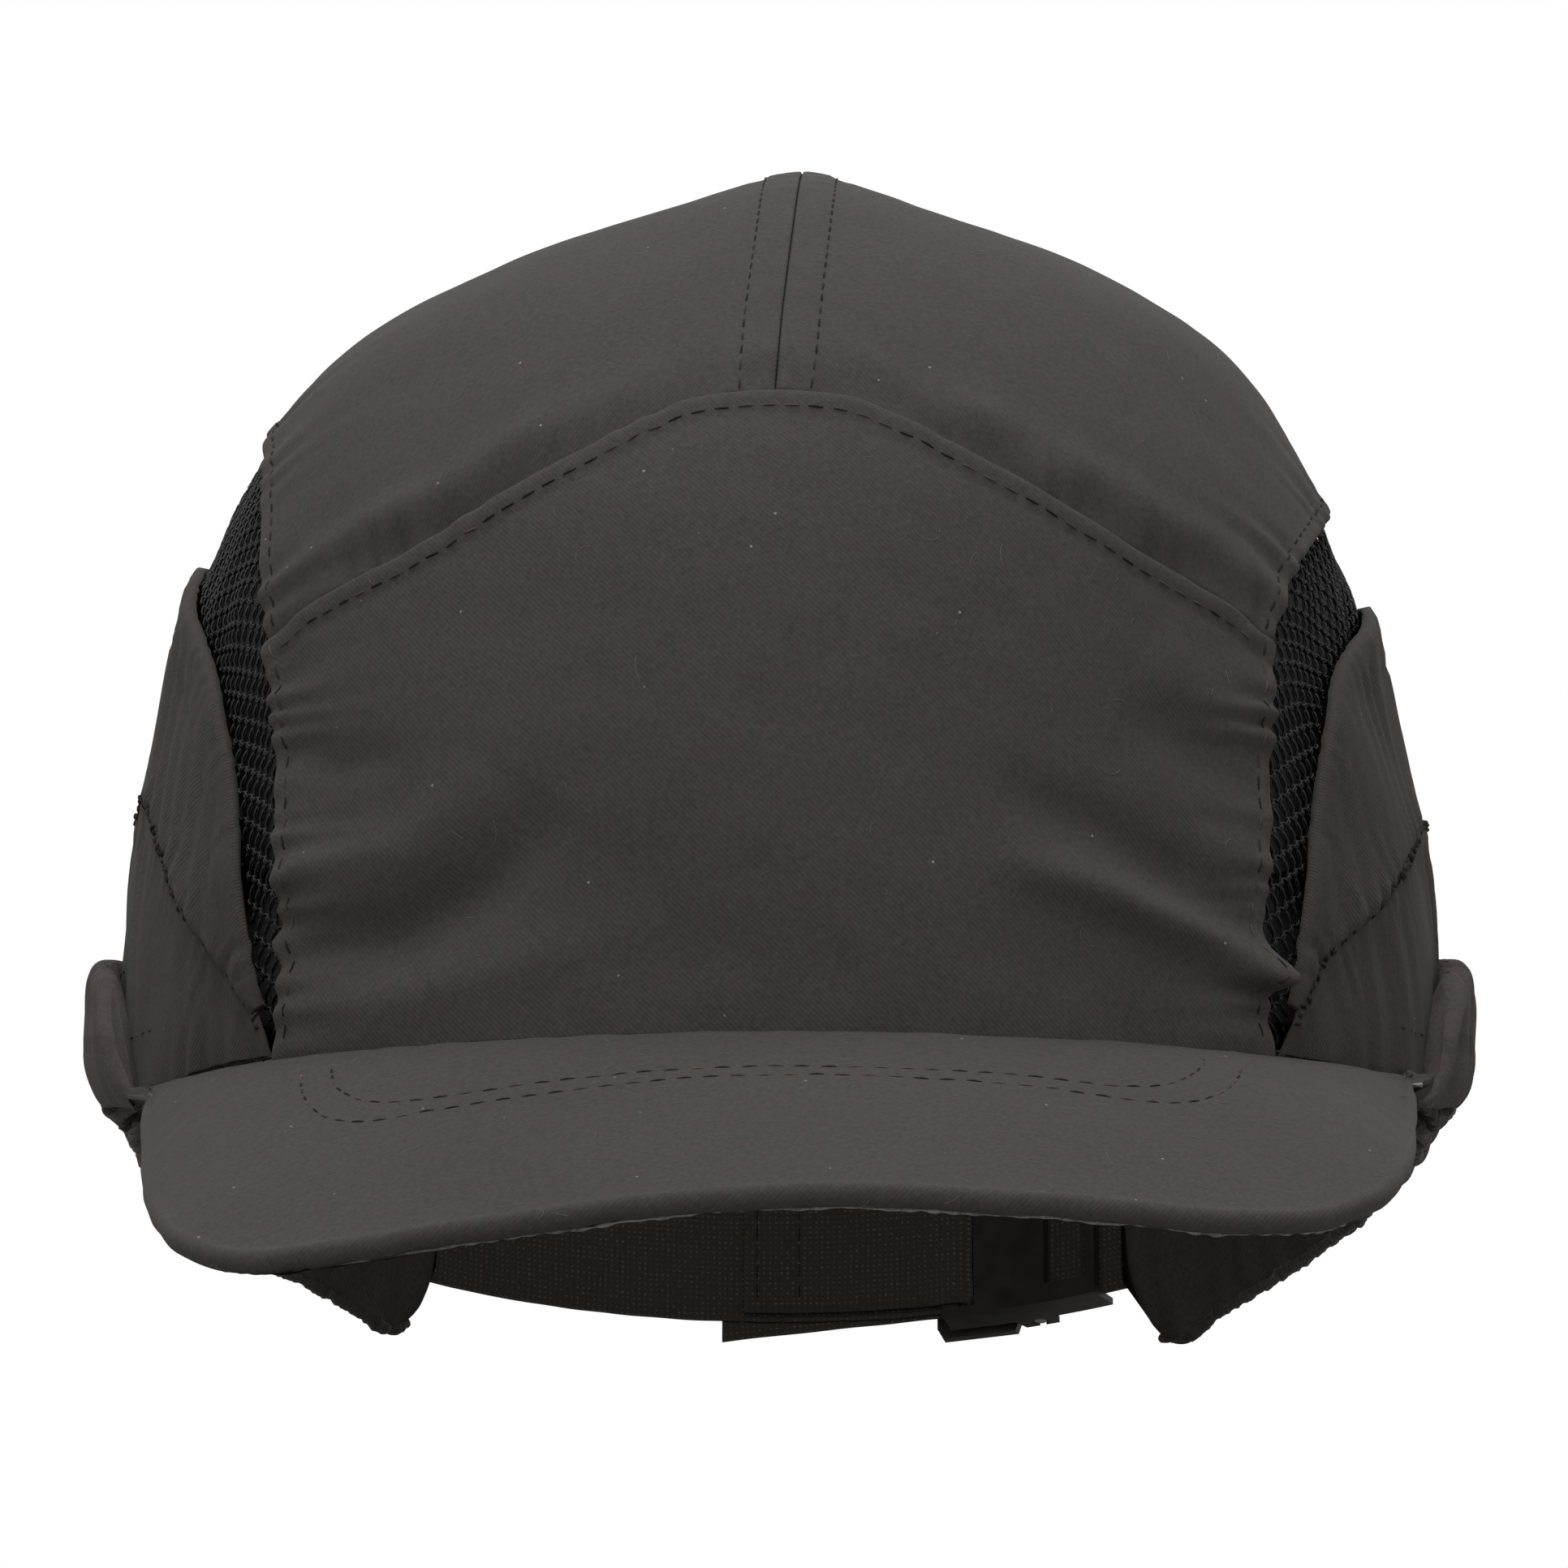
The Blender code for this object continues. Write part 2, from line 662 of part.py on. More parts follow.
def band_to_cap(point):
    lean = Vector((point.x,
                   point.y * math.cos(band_tilt) + point.z * math.sin(band_tilt),
                   point.z * math.cos(band_tilt) - point.y * math.sin(band_tilt)))
    return band_centre + lean


def degrees_for(length, radius):
    return math.degrees(length / radius)


def loft(name, rings, colour, roughness, parent=band_axis, metallic=0.0):
    """A closed solid through rings of equal length, with flat ends."""
    shape = bmesh.new()
    loops = [[shape.verts.new(p) for p in ring] for ring in rings]
    count = len(loops[0])
    for first, second in zip(loops, loops[1:]):
        for i in range(count):
            k = (i + 1) % count
            shape.faces.new((first[i], first[k], second[k], second[i]))
    shape.faces.new(loops[0][::-1])
    shape.faces.new(loops[-1])
    bmesh.ops.recalc_face_normals(shape, faces=shape.faces[:])
    mesh = bpy.data.meshes.new(name)
    shape.to_mesh(mesh)
    shape.free()
    return finish(name, mesh, colour, roughness, parent, metallic)


def arc_block(name, inner, outer, start, end, low, high, colour=black, roughness=0.5,
              steps=6):
    """A block bent round the band's axis, between radii, degrees and heights."""
    rings = []
    for i in range(steps + 1):
        degrees = start + (end - start) * i / steps
        rings.append([band_point(r, degrees, z) for r, z in
                      ((inner, low), (outer, low), (outer, high), (inner, high))])
    return loft(name, rings, colour, roughness)


def as_cutter(thing):
    cap.objects.unlink(thing)
    cutters.objects.link(thing)
    thing.hide_render = True
    thing.display_type = "WIRE"
    return thing


def cut(thing, cutter, operation="DIFFERENCE"):
    step = thing.modifiers.new(cutter.name, "BOOLEAN")
    step.operation = operation
    step.solver = "EXACT"
    step.object = as_cutter(cutter)


channel_inner = left_strap_radius - strap_thickness / 2.0 - strap_clearance
channel_outer = right_strap_radius + strap_thickness / 2.0 + strap_clearance
channel_middle = (channel_inner + channel_outer) / 2.0
casing_half = (channel_outer - channel_inner) / 2.0 + casing_wall
channel_half_height = strap_width / 2.0 + strap_clearance


def casing_stations():
    """Centre, lean, fall and rise of the right-hand casing, rear corner to ear."""
    bottom_share = ((casing_end, 1.0), (casing_end + 4.0, 1.0), (43.0, 0.93), (51.0, 0.83),
                    (59.0, 0.76), (casing_channel_end + 1.0, 0.7))
    corner_centre = band_to_cap(band_point(channel_middle, casing_end))
    deepest = corner_centre.z / math.cos(band_tilt)
    least = channel_half_height + casing_wall
    stations = []
    for degrees, share in bottom_share:
        centre = band_to_cap(band_point(channel_middle, degrees))
        fall = max(deepest * share, least)
        if share == 1.0:
            fall = centre.z / math.cos(band_tilt)
        stations.append((centre, band_tilt, fall, max(casing_rear_rise, least)))
    last = stations[-1]
    half = casing_front_height / 2.0
    ear = Vector((half_width - 0.8 * mm, -2.0 * mm, ear_hem_height + half - 0.4 * mm))
    for step, tilt in ((0.55, band_tilt * 0.4), (1.0, 0.0)):
        centre = last[0].lerp(ear, step)
        centre.x += (1.0 - step) * 4.5 * mm
        fall = last[2] + (half - last[2]) * step
        rise = last[3] + (half - last[3]) * step
        stations.append((centre, tilt, fall, rise))
    return stations


def casing_line():
    """A seam that follows the top of the casing, a gap above it."""
    line = []
    for centre, tilt, fall, rise in casing_stations()[::-1]:
        top = centre + rise * Vector((0.0, math.sin(tilt), math.cos(tilt)))
        degrees = math.degrees(math.atan2(top.x / half_width, -top.y / back_reach))
        line.append((degrees, (top.z + 1.5 * mm) / crown_height))
    line[0] = (88.6, line[0][1])
    return [place for place in line if place[0] < 143.0]


def casing_rings():
    """Sections of the right-hand rear casing, from the rear corner to the ear."""
    stations = casing_stations()
    rings = []
    for i, (centre, tilt, fall, rise) in enumerate(stations):
        ahead = stations[min(i + 1, len(stations) - 1)][0]
        behind = stations[max(i - 1, 0)][0]
        up = Vector((0.0, math.sin(tilt), math.cos(tilt)))
        out = (ahead - behind).normalized().cross(up).normalized()
        if out.x < 0.0:
            out = -out
        foot = casing_foot / 2.0
        shoulder = 2.2 * mm
        section = [(-foot, -fall), (foot, -fall), (casing_half, -fall + shoulder),
                   (casing_half, 0.0), (casing_half, rise - shoulder), (foot, rise),
                   (-foot, rise), (-casing_half, rise - shoulder), (-casing_half, 0.0),
                   (-casing_half, -fall + shoulder)]
        ring = [centre + out * a + up * b for a, b in section]
        if i < 2:
            ring[0].z = 0.0
            ring[1].z = 0.0
        rings.append(ring)
    return rings


def rear_casings(side, name):
    """A padded sleeve, open at its rear end, that the strap slides in."""
    rings = [[Vector((p.x * side, p.y, p.z)) for p in ring] for ring in casing_rings()]
    casing = loft("rear_casing_" + name, rings, charcoal, 0.85, cap_frame)
    channel = arc_block("strap_channel_" + name, channel_inner, channel_outer,
                        side * (casing_end - 6.0), side * casing_channel_end,
                        -channel_half_height, channel_half_height, steps=20)
    cut(casing, channel)


def strap_sag(degrees):
    """How far the free tail hangs, from the buckle's end to its own."""
    start = buckle_start - 1.0
    share = max(0.0, (start - degrees) / (start - tail_end))
    return tail_sag * share**2


def strap_section(radius, degrees, up, thickness=strap_thickness):
    half = thickness / 2.0
    return [band_point(r, degrees, z + up) for r, z in
            ((radius - half, -strap_width / 2.0), (radius + half, -strap_width / 2.0),
             (radius + half, strap_width / 2.0), (radius - half, strap_width / 2.0))]


def strap_right():
    """Free to slide: hidden in the casing at one end, a free tail at the other."""
    steps = 34
    rings = []
    for i in range(steps + 1):
        degrees = tail_end + (hidden_strap_end - tail_end) * i / steps
        rings.append(strap_section(right_strap_radius, degrees, -strap_sag(degrees)))
    loft("strap_right", rings, black, 0.9)


# The buckle's middle layer lies between the two layers of the left strap.
bar_radius = left_strap_radius - loop_bend
buckle_start = 15.3              # degrees, the frame's left end
bar_end = buckle_start + degrees_for(buckle_bar, bar_radius)
loop_centre = bar_end - degrees_for(0.3 * mm, bar_radius)
slot_end = loop_centre + degrees_for(loop_bend + strap_thickness / 2.0 + 0.4 * mm, bar_radius)
plate_end = slot_end + degrees_for(buckle_plate_length, bar_radius)
window_end = plate_end + degrees_for(buckle_window_length, bar_radius)
buckle_end = window_end + degrees_for(buckle_end_bar, bar_radius)


def strap_left():
    """Sewn into the left casing, round the buckle's bar and back on the inside."""
    half = strap_thickness / 2.0
    start = -casing_channel_end + 4.0
    middle = [band_point(left_strap_radius, start + (loop_centre - start) * i / 40)
              for i in range(41)]
    turn = band_point(bar_radius, loop_centre)
    outward = turn.normalized()
    forward = Vector((outward.y, -outward.x, 0.0))
    for k in range(1, 6):
        angle = math.pi * k / 6.0
        middle.append(turn + outward * loop_bend * math.cos(angle)
                      + forward * loop_bend * math.sin(angle))
    finish_at = loop_centre - degrees_for(strap_loop_return, bar_radius)
    middle += [band_point(bar_radius - loop_bend, loop_centre + (finish_at - loop_centre) * i / 14)
               for i in range(15)]
    rings = []
    for i, place in enumerate(middle):
        along = middle[min(i + 1, len(middle) - 1)] - middle[max(i - 1, 0)]
        across = Vector((along.y, -along.x, 0.0)).normalized()
        rings.append([place + across * a + Vector((0.0, 0.0, z)) for a, z in
                      ((-half, -strap_width / 2.0), (half, -strap_width / 2.0),
                       (half, strap_width / 2.0), (-half, strap_width / 2.0))])
    loft("strap_left", rings, black, 0.9)


# ---------------------------------------------------------------- buckle
inner_width = strap_width / 2.0 + buckle_side_clearance
outer_width = inner_width + buckle_wall
plate_inner = bar_radius - buckle_bar_thickness / 2.0
hub_radius = pin_diameter / 2.0 + pin_clearance + lever_hub_wall
pin_radius_at = right_strap_radius + strap_thickness / 2.0 + 0.4 * mm + hub_radius
pin_degrees = plate_end - degrees_for(3.4 * mm, bar_radius)
wall_top = pin_radius_at + 1.1 * mm
lever_inner = wall_top + layer_gap
hinge = new_empty("lever_hinge", band_point(pin_radius_at, pin_degrees), band_axis)


def round_bar(name, radius, length, colour, segments=20, metallic=0.0):
    """A cylinder along the hinge's axis."""
    mesh = bpy.data.meshes.new(name)
    shape = bmesh.new()
    bmesh.ops.create_cone(shape, cap_ends=True, segments=segments, radius1=radius,
                          radius2=radius, depth=length)
    shape.to_mesh(mesh)
    shape.free()
    return finish(name, mesh, colour, 0.35, hinge, metallic)


def frame_section(degrees):
    """A channel: the plate between two side walls, which rise towards the pin."""
    away = abs(degrees - pin_degrees)
    tall = degrees_for(2.4 * mm, bar_radius)
    low = right_strap_radius + 1.4 * mm
    top = wall_top if away < tall else low
    base = plate_inner + buckle_bar_thickness
    return [band_point(r, degrees, z) for r, z in
            ((plate_inner, -outer_width), (top, -outer_width), (top, -inner_width),
             (base, -inner_width), (base, inner_width), (top, inner_width),
             (top, outer_width), (plate_inner, outer_width))]


def buckle_frame():
    tall = degrees_for(2.4 * mm, bar_radius)
    slope = degrees_for(0.8 * mm, bar_radius)
    ramp_start, ramp_end = pin_degrees - tall - slope, pin_degrees + tall + slope
    stations = [buckle_start + (ramp_start - buckle_start) * i / 5 for i in range(6)]
    stations += [pin_degrees - 0.99 * tall, pin_degrees, pin_degrees + 0.99 * tall]
    stations += [ramp_end + (buckle_end - ramp_end) * i / 5 for i in range(6)]
    frame = loft("buckle_frame", [frame_section(d) for d in stations],
                 (0.02, 0.018, 0.017, 1.0), 0.45)
    low, high = plate_inner - 2.0 * mm, right_strap_radius
    ledge = 0.25 * mm
    slot_half = inner_width - ledge
    cut(frame, arc_block("loop_slot", low, high, bar_end, slot_end, -slot_half, slot_half))
    window_half = inner_width - 2.0 * mm
    cut(frame, arc_block("window", low, high, plate_end, window_end,
                         -window_half, window_half))
    hole = round_bar("plate_hole", buckle_hole_diameter / 2.0, 12.0 * mm, black)
    hole_degrees = (slot_end + plate_end) / 2.0
    hole.parent = band_axis
    hole.location = band_point(bar_radius, hole_degrees, 2.0 * mm)
    hole.rotation_euler = (math.pi / 2.0, 0.0, -math.radians(hole_degrees))
    cut(frame, hole)
    cut(frame, round_bar("pin_bore", pin_diameter / 2.0 + pin_clearance, 60.0 * mm, black))


def buckle_lever():
    """Wide where the thumb lifts it, narrow between the frame's walls."""
    colour = (0.02, 0.018, 0.017, 1.0)
    free_end = buckle_start - degrees_for(lever_overhang, bar_radius)
    neck = pin_degrees - degrees_for(3.7 * mm, bar_radius)
    tail = pin_degrees + degrees_for(1.1 * mm, bar_radius)
    narrow = inner_width - 0.4 * mm
    rings = []
    for degrees, width in ((free_end, outer_width - 1.6 * mm),
                           (free_end + 0.5, outer_width), (neck - 0.3, outer_width),
                           (neck, narrow), (pin_degrees, narrow), (tail, narrow)):
        near = lever_inner
        far = near + lever_thickness
        rings.append([band_point(r, degrees, z) for r, z in
                      ((near, -width), (far, -width), (far, width), (near, width))])
    corrected = []
    centre = hinge.location
    for ring in rings:
        corrected.append([p - centre for p in ring])
    lever = loft("buckle_lever", corrected, colour, 0.45, hinge)
    web_half = degrees_for(1.1 * mm, bar_radius)
    web = []
    for degrees in (pin_degrees - web_half, pin_degrees + 0.8 * web_half):
        web.append([band_point(r, degrees, z) - centre for r, z in
                    ((pin_radius_at, -narrow), (lever_inner + 0.5 * mm, -narrow),
                     (lever_inner + 0.5 * mm, narrow), (pin_radius_at, narrow))])
    cut(lever, loft("lever_web", web, colour, 0.45, hinge), "UNION")
    cut(lever, round_bar("lever_hub", hub_radius, 2.0 * narrow, colour), "UNION")
    cut(lever, round_bar("lever_bore", pin_diameter / 2.0 + pin_clearance, 60.0 * mm, colour))


def buckle_pin():
    round_bar("buckle_pin", pin_diameter / 2.0, 2.0 * outer_width - 0.4 * mm,
              (0.5, 0.5, 0.52, 1.0), metallic=1.0)


# ---------------------------------------------------------------- build
front_panel()
for side, name in ((-1, "left"), (1, "right")):
    crown_panels(side, name)
    mesh_panels(side, name)
    side_panels(side, name)
    ear_bands(side, name)
    rear_casings(side, name)
    wall_pad("side_pad_" + name, side, 66.0, 114.0, 76.0 * mm, 100.0 * mm)
crown_seam_tape()
rear_opening_binding()
bump_shell()
crown_pad()
wall_pad("front_pad", 1, -34.0, 34.0, 74.0 * mm, 102.0 * mm)
wall_pad("rear_pad", 1, 152.0, 208.0, 78.0 * mm, 108.0 * mm)
sweatband()
care_label()
peak()
strap_left()
strap_right()
buckle_frame()
buckle_lever()
buckle_pin()
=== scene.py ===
# Bump cap: cloth, knitted mesh, stitching, webbing, foam and mouldings, made round
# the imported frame. The peak points along -Y and the cap stands on z = 0.
import json
import math

import bpy
import numpy as np
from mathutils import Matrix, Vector
from mathutils.bvhtree import BVHTree

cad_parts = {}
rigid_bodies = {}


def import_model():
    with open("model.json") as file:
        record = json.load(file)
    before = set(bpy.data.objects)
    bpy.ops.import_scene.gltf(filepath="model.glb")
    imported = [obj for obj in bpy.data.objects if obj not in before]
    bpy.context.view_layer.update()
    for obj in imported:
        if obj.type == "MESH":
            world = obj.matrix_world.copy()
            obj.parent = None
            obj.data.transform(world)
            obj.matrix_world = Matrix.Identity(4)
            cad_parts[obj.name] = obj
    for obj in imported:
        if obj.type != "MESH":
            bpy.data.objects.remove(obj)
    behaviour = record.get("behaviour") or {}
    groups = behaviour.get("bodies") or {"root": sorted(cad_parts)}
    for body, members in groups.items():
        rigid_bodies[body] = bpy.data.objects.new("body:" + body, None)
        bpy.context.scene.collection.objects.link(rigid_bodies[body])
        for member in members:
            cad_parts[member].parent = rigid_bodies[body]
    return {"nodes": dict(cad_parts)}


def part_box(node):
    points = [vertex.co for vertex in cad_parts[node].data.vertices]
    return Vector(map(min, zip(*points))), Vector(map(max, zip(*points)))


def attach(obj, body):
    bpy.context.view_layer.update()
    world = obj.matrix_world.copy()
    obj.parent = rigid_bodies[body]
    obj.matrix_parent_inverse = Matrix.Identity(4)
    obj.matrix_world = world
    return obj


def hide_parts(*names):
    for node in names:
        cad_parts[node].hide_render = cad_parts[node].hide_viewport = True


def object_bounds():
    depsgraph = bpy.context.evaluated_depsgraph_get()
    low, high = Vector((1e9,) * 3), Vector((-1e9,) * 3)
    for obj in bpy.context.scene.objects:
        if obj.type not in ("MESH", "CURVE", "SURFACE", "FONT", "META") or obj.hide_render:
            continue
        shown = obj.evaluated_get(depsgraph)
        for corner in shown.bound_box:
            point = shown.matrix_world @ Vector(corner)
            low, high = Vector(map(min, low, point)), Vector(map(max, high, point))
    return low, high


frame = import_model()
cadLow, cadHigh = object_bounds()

mm = 0.001

# Sewing sizes in mm, in the cap's own frame: its Y = 0 is the plane through the ears.
cap = dict(height=158.5, halfWidth=92.0, frontReach=105.0, backReach=105.0, peakLength=52.5,
           peakLip=0.5, frontHem=33.8, cornerHem=30.4, earHem=28.4, cornerAngle=66.0,
           cloth=1.1, shellInset=3.0)
earPlane = cadLow.y + (cap["frontReach"] + cap["peakLength"] + cap["peakLip"]) * mm

sideShape = [(0, 0), (0.076, 0.010), (0.25, 0.051), (0.489, 0.097), (0.679, 0.168),
             (0.804, 0.274), (0.878, 0.375), (0.922, 0.486), (0.967, 0.599),
             (0.996, 0.694), (1.0, 0.823), (0.989, 1.0)]
frontShape = [(0, 0), (0.286, 0.038), (0.524, 0.114), (0.714, 0.2145), (0.829, 0.315),
              (0.905, 0.442), (0.952, 0.568), (0.981, 0.694), (1.0, 0.823), (1.01, 1.0)]
backShape = [(0, 0), (0.286, 0.022), (0.552, 0.076), (0.781, 0.189), (0.905, 0.341),
             (0.962, 0.505), (0.986, 0.631), (0.976, 0.726), (0.952, 0.801),
             (0.924, 0.883), (0.895, 1.0)]

# Seams as (degrees from the centre front, share of the height). The two sides of a
# sewn cap never match exactly, so the mesh has its own edges on each side.
archSeam = {-1: [(0, 0.748), (8, 0.741), (20, 0.692), (35, 0.622), (53.8, 0.551)],
            1: [(0, 0.748), (8, 0.741), (20, 0.692), (35, 0.622), (51.6, 0.551)]}
meshFront = {-1: [(45.0, 0.2), (45.3, 0.29), (48.6, 0.424), (53.8, 0.551)],
             1: [(43.6, 0.2), (43.6, 0.29), (47.2, 0.424), (51.6, 0.551)]}
meshTop = {-1: [(53.8, 0.551), (60.5, 0.662), (76.5, 0.755), (92, 0.768), (115, 0.722),
                (138, 0.612), (154, 0.48), (163, 0.394)],
           1: [(51.6, 0.551), (57.0, 0.609), (70, 0.668), (85, 0.700), (102, 0.709),
               (120, 0.685), (138, 0.606), (154, 0.48), (163, 0.394)]}
meshFoot = {-1: [(45.6, 0.2), (47.6, 0.24)], 1: [(44.6, 0.2), (47.0, 0.24)]}
meshRear = {-1: [(47.6, 0.24), (49.7, 0.306), (54.2, 0.414), (62, 0.522), (75, 0.605),
                 (93, 0.660), (115, 0.628), (135, 0.517), (147, 0.397), (151.5, 0.328)],
            1: [(47.0, 0.24), (49.2, 0.32), (53.2, 0.411), (61, 0.522), (76, 0.592),
                (96, 0.626), (116, 0.604), (135, 0.512), (147, 0.397), (151.5, 0.328)]}
bandTop = {-1: [(45.6, 0.2), (47.6, 0.24), (50.5, 0.268), (55, 0.305), (61, 0.345), (70, 0.412),
                (78, 0.446), (96, 0.432), (115, 0.404), (130, 0.363), (141, 0.302),
                (146.2, 0.25)],
           1: [(44.6, 0.2), (47.0, 0.24), (50.5, 0.285), (55, 0.312), (61.5, 0.343), (72, 0.395),
               (84, 0.43), (96, 0.427), (115, 0.404), (130, 0.363), (141, 0.302),
               (146.2, 0.25)]}
archLow = [(146.7, 0.242), (148.5, 0.284), (151.5, 0.328)]
archMiddle = [(151.5, 0.328), (157, 0.369), (163, 0.394)]
archTop = [(163, 0.394), (171, 0.412), (180, 0.416)]

# The worn cap stands a little askew: its ridge leans to the right above the arch.
leanHeights, leanShifts = (60, 100, 118, 130, 145, 158.5), (0.0, -0.5, -0.5, 0.4, 1.9, 3.2)


def curveThrough(points, steps=24, mirrorStart=False):
    # a centripetal Catmull-Rom curve
    points = [np.array(p, float) for p in points]
    before = 2.0 * points[0] - points[1]
    if mirrorStart:
        before = points[1] * np.array([-1.0, 1.0])
    chain = [before, *points, 2.0 * points[-1] - points[-2]]
    t = np.arange(steps)[:, None] / steps
    parts = []
    for p0, p1, p2, p3 in zip(chain, chain[1:], chain[2:], chain[3:]):
        k1, k2, k3 = (math.sqrt(np.linalg.norm(b - a)) for a, b in ((p0, p1), (p1, p2), (p2, p3)))
        m1 = ((p1 - p0) / k1 - (p2 - p0) / (k1 + k2) + (p2 - p1) / k2) * k2
        m2 = ((p2 - p1) / k2 - (p3 - p1) / (k2 + k3) + (p3 - p2) / k3) * k2
        parts.append((2 * t**3 - 3 * t**2 + 1) * p1 + (t**3 - 2 * t**2 + t) * m1
                     + (3 * t**2 - 2 * t**3) * p2 + (t**3 - t**2) * m2)
    parts.append(points[-1][None])
    return np.vstack(parts)


def runOf(curve):
    return np.concatenate([[0.0], np.cumsum(np.linalg.norm(np.diff(curve, axis=0), axis=1))])


def along(curve, shares):
    run = runOf(curve)
    want = np.asarray(shares) * run[-1]
    return np.stack([np.interp(want, run, curve[:, k]) for k in range(curve.shape[1])], -1)


def drift(points, size, seed, waves=9):
    # smooth noise of about -1 to 1, whose lumps are about this size in mm
    dice = np.random.default_rng(seed)
    total = 0.0
    for _ in range(waves):
        way = dice.normal(size=points.shape[-1])
        way *= dice.uniform(0.6, 1.4) / np.linalg.norm(way)
        total = total + np.sin(points @ way * (2.0 * math.pi / size) + dice.uniform(0.0, 6.28))
    return total / math.sqrt(waves)


def smooth(low, high, value):
    t = np.clip((value - low) / (high - low), 0.0, 1.0)
    return t * t * (3.0 - 2.0 * t)


profileSteps = 1600


def sizedProfile(shape, reach):
    sized = [(across * reach, drop * cap["height"]) for across, drop in shape]
    return along(curveThrough(sized, 40, True), np.linspace(0.0, 1.0, profileSteps + 1))


sideCurve = sizedProfile(sideShape, cap["halfWidth"])
frontCurve = sizedProfile(frontShape, cap["frontReach"])
backCurve = sizedProfile(backShape, cap["backReach"])


def crownPoint(azimuth, t):
    across, ahead = np.sin(azimuth), np.cos(azimuth)
    place = np.clip(t, 0.0, 1.0) * profileSteps
    steps = np.arange(profileSteps + 1)
    side, front, back = ([np.interp(place, steps, c[:, k]) for k in (0, 1)]
                         for c in (sideCurve, frontCurve, backCurve))
    reach = np.where(ahead > 0.0, front[0], back[0])
    drop = side[1] * across**2 + np.where(ahead > 0.0, front[1], back[1]) * ahead**2
    return np.stack([side[0] * across, -reach * ahead, cap["height"] - drop], -1)


def tAtHeight(azimuth, height):
    low, high = np.zeros_like(azimuth, float), np.ones_like(azimuth, float)
    for _ in range(30):
        middle = (low + high) / 2.0
        above = crownPoint(azimuth, middle)[..., 2] > height
        low, high = np.where(above, middle, low), np.where(above, high, middle)
    return (low + high) / 2.0


def disc(azimuth, t):
    # the crown laid flat, with the ridge at the middle and the table at radius 1
    return np.stack([t * np.sin(azimuth), -t * np.cos(azimuth)], -1)


def crownAt(places):
    return crownPoint(np.arctan2(places[..., 0], -places[..., 1]), np.linalg.norm(places, axis=-1))


def normalAt(places, step=0.008):
    right, back = np.array([step, 0.0]), np.array([0.0, step])
    across = crownAt(places + right) - crownAt(places - right)
    deep = crownAt(places + back) - crownAt(places - back)
    way = np.cross(across, deep)
    return way / np.linalg.norm(way, axis=-1, keepdims=True)


def seam(points, side=1):
    degrees, share = np.array(points, float).T
    azimuth = np.radians(degrees)
    curve = curveThrough(disc(azimuth, tAtHeight(azimuth, share * cap["height"])))
    return curve * np.array([side, 1.0])


def hemHeight(azimuth):
    corner = math.radians(cap["cornerAngle"])
    share = np.minimum(np.abs(azimuth) / corner, 1.0)
    front = cap["frontHem"] + (cap["cornerHem"] - cap["frontHem"]) * share**2
    past = np.clip((np.abs(azimuth) - corner) / (math.pi / 2.0 - corner), 0.0, 1.0)
    return front + (cap["earHem"] - cap["cornerHem"]) * past


def hemSeam(start, end, steps=60):
    azimuth = np.radians(np.linspace(start, end, steps + 1))
    return disc(azimuth, tAtHeight(azimuth, hemHeight(azimuth)))


def settle(points):
    # from the cap's frame in mm to the frame's metres, with the ridge's lean
    moved = np.array(points, float)
    moved[..., 0] += np.interp(moved[..., 2], leanHeights, leanShifts)
    return fromEars(moved)


def fromEars(points):
    # the same without the lean, for what hangs below the crown
    return points * mm + np.array([0.0, earPlane, 0.0])


def positions(thing):
    values = np.zeros(len(thing.data.vertices) * 3, np.float32)
    thing.data.vertices.foreach_get("co", values)
    return values.reshape(-1, 3).astype(float)


def place(thing, points):
    thing.data.vertices.foreach_set("co", points.astype(np.float32).ravel())
    thing.data.update()


def applied(thing):
    # bakes the modifiers into the mesh
    graph = bpy.context.evaluated_depsgraph_get()
    made = bpy.data.meshes.new_from_object(thing.evaluated_get(graph))
    thing.modifiers.clear()
    old = thing.data
    thing.data = made
    bpy.data.meshes.remove(old)


def meshFrom(name, vertices, faces, material, uv=None):
    mesh = bpy.data.meshes.new(name)
    mesh.from_pydata(vertices.tolist(), [], faces)
    mesh.shade_smooth()
    if uv is not None:
        layer = mesh.uv_layers.new(name="grain")
        loops = np.zeros(len(mesh.loops), np.int32)
        mesh.loops.foreach_get("vertex_index", loops)
        layer.data.foreach_set("uv", uv[loops].astype(np.float32).ravel())
    mesh.materials.append(material)
    thing = bpy.data.objects.new(name, mesh)
    bpy.context.scene.collection.objects.link(thing)
    return thing


def gridFaces(rows, columns, first=0, flip=False, closed=False):
    index = first + np.arange(rows * columns).reshape(rows, columns)
    if closed:
        index = np.hstack([index, index[:, :1]])
    corners = [index[:-1, :-1], index[:-1, 1:], index[1:, 1:], index[1:, :-1]]
    if flip:
        corners = corners[::-1]
    return np.stack([c.ravel() for c in corners], -1).tolist()


def gridNormals(points):
    across = np.gradient(points, axis=1)
    up = np.gradient(points, axis=0)
    way = np.cross(across, up)
    return way / np.maximum(np.linalg.norm(way, axis=-1, keepdims=True), 1e-12)


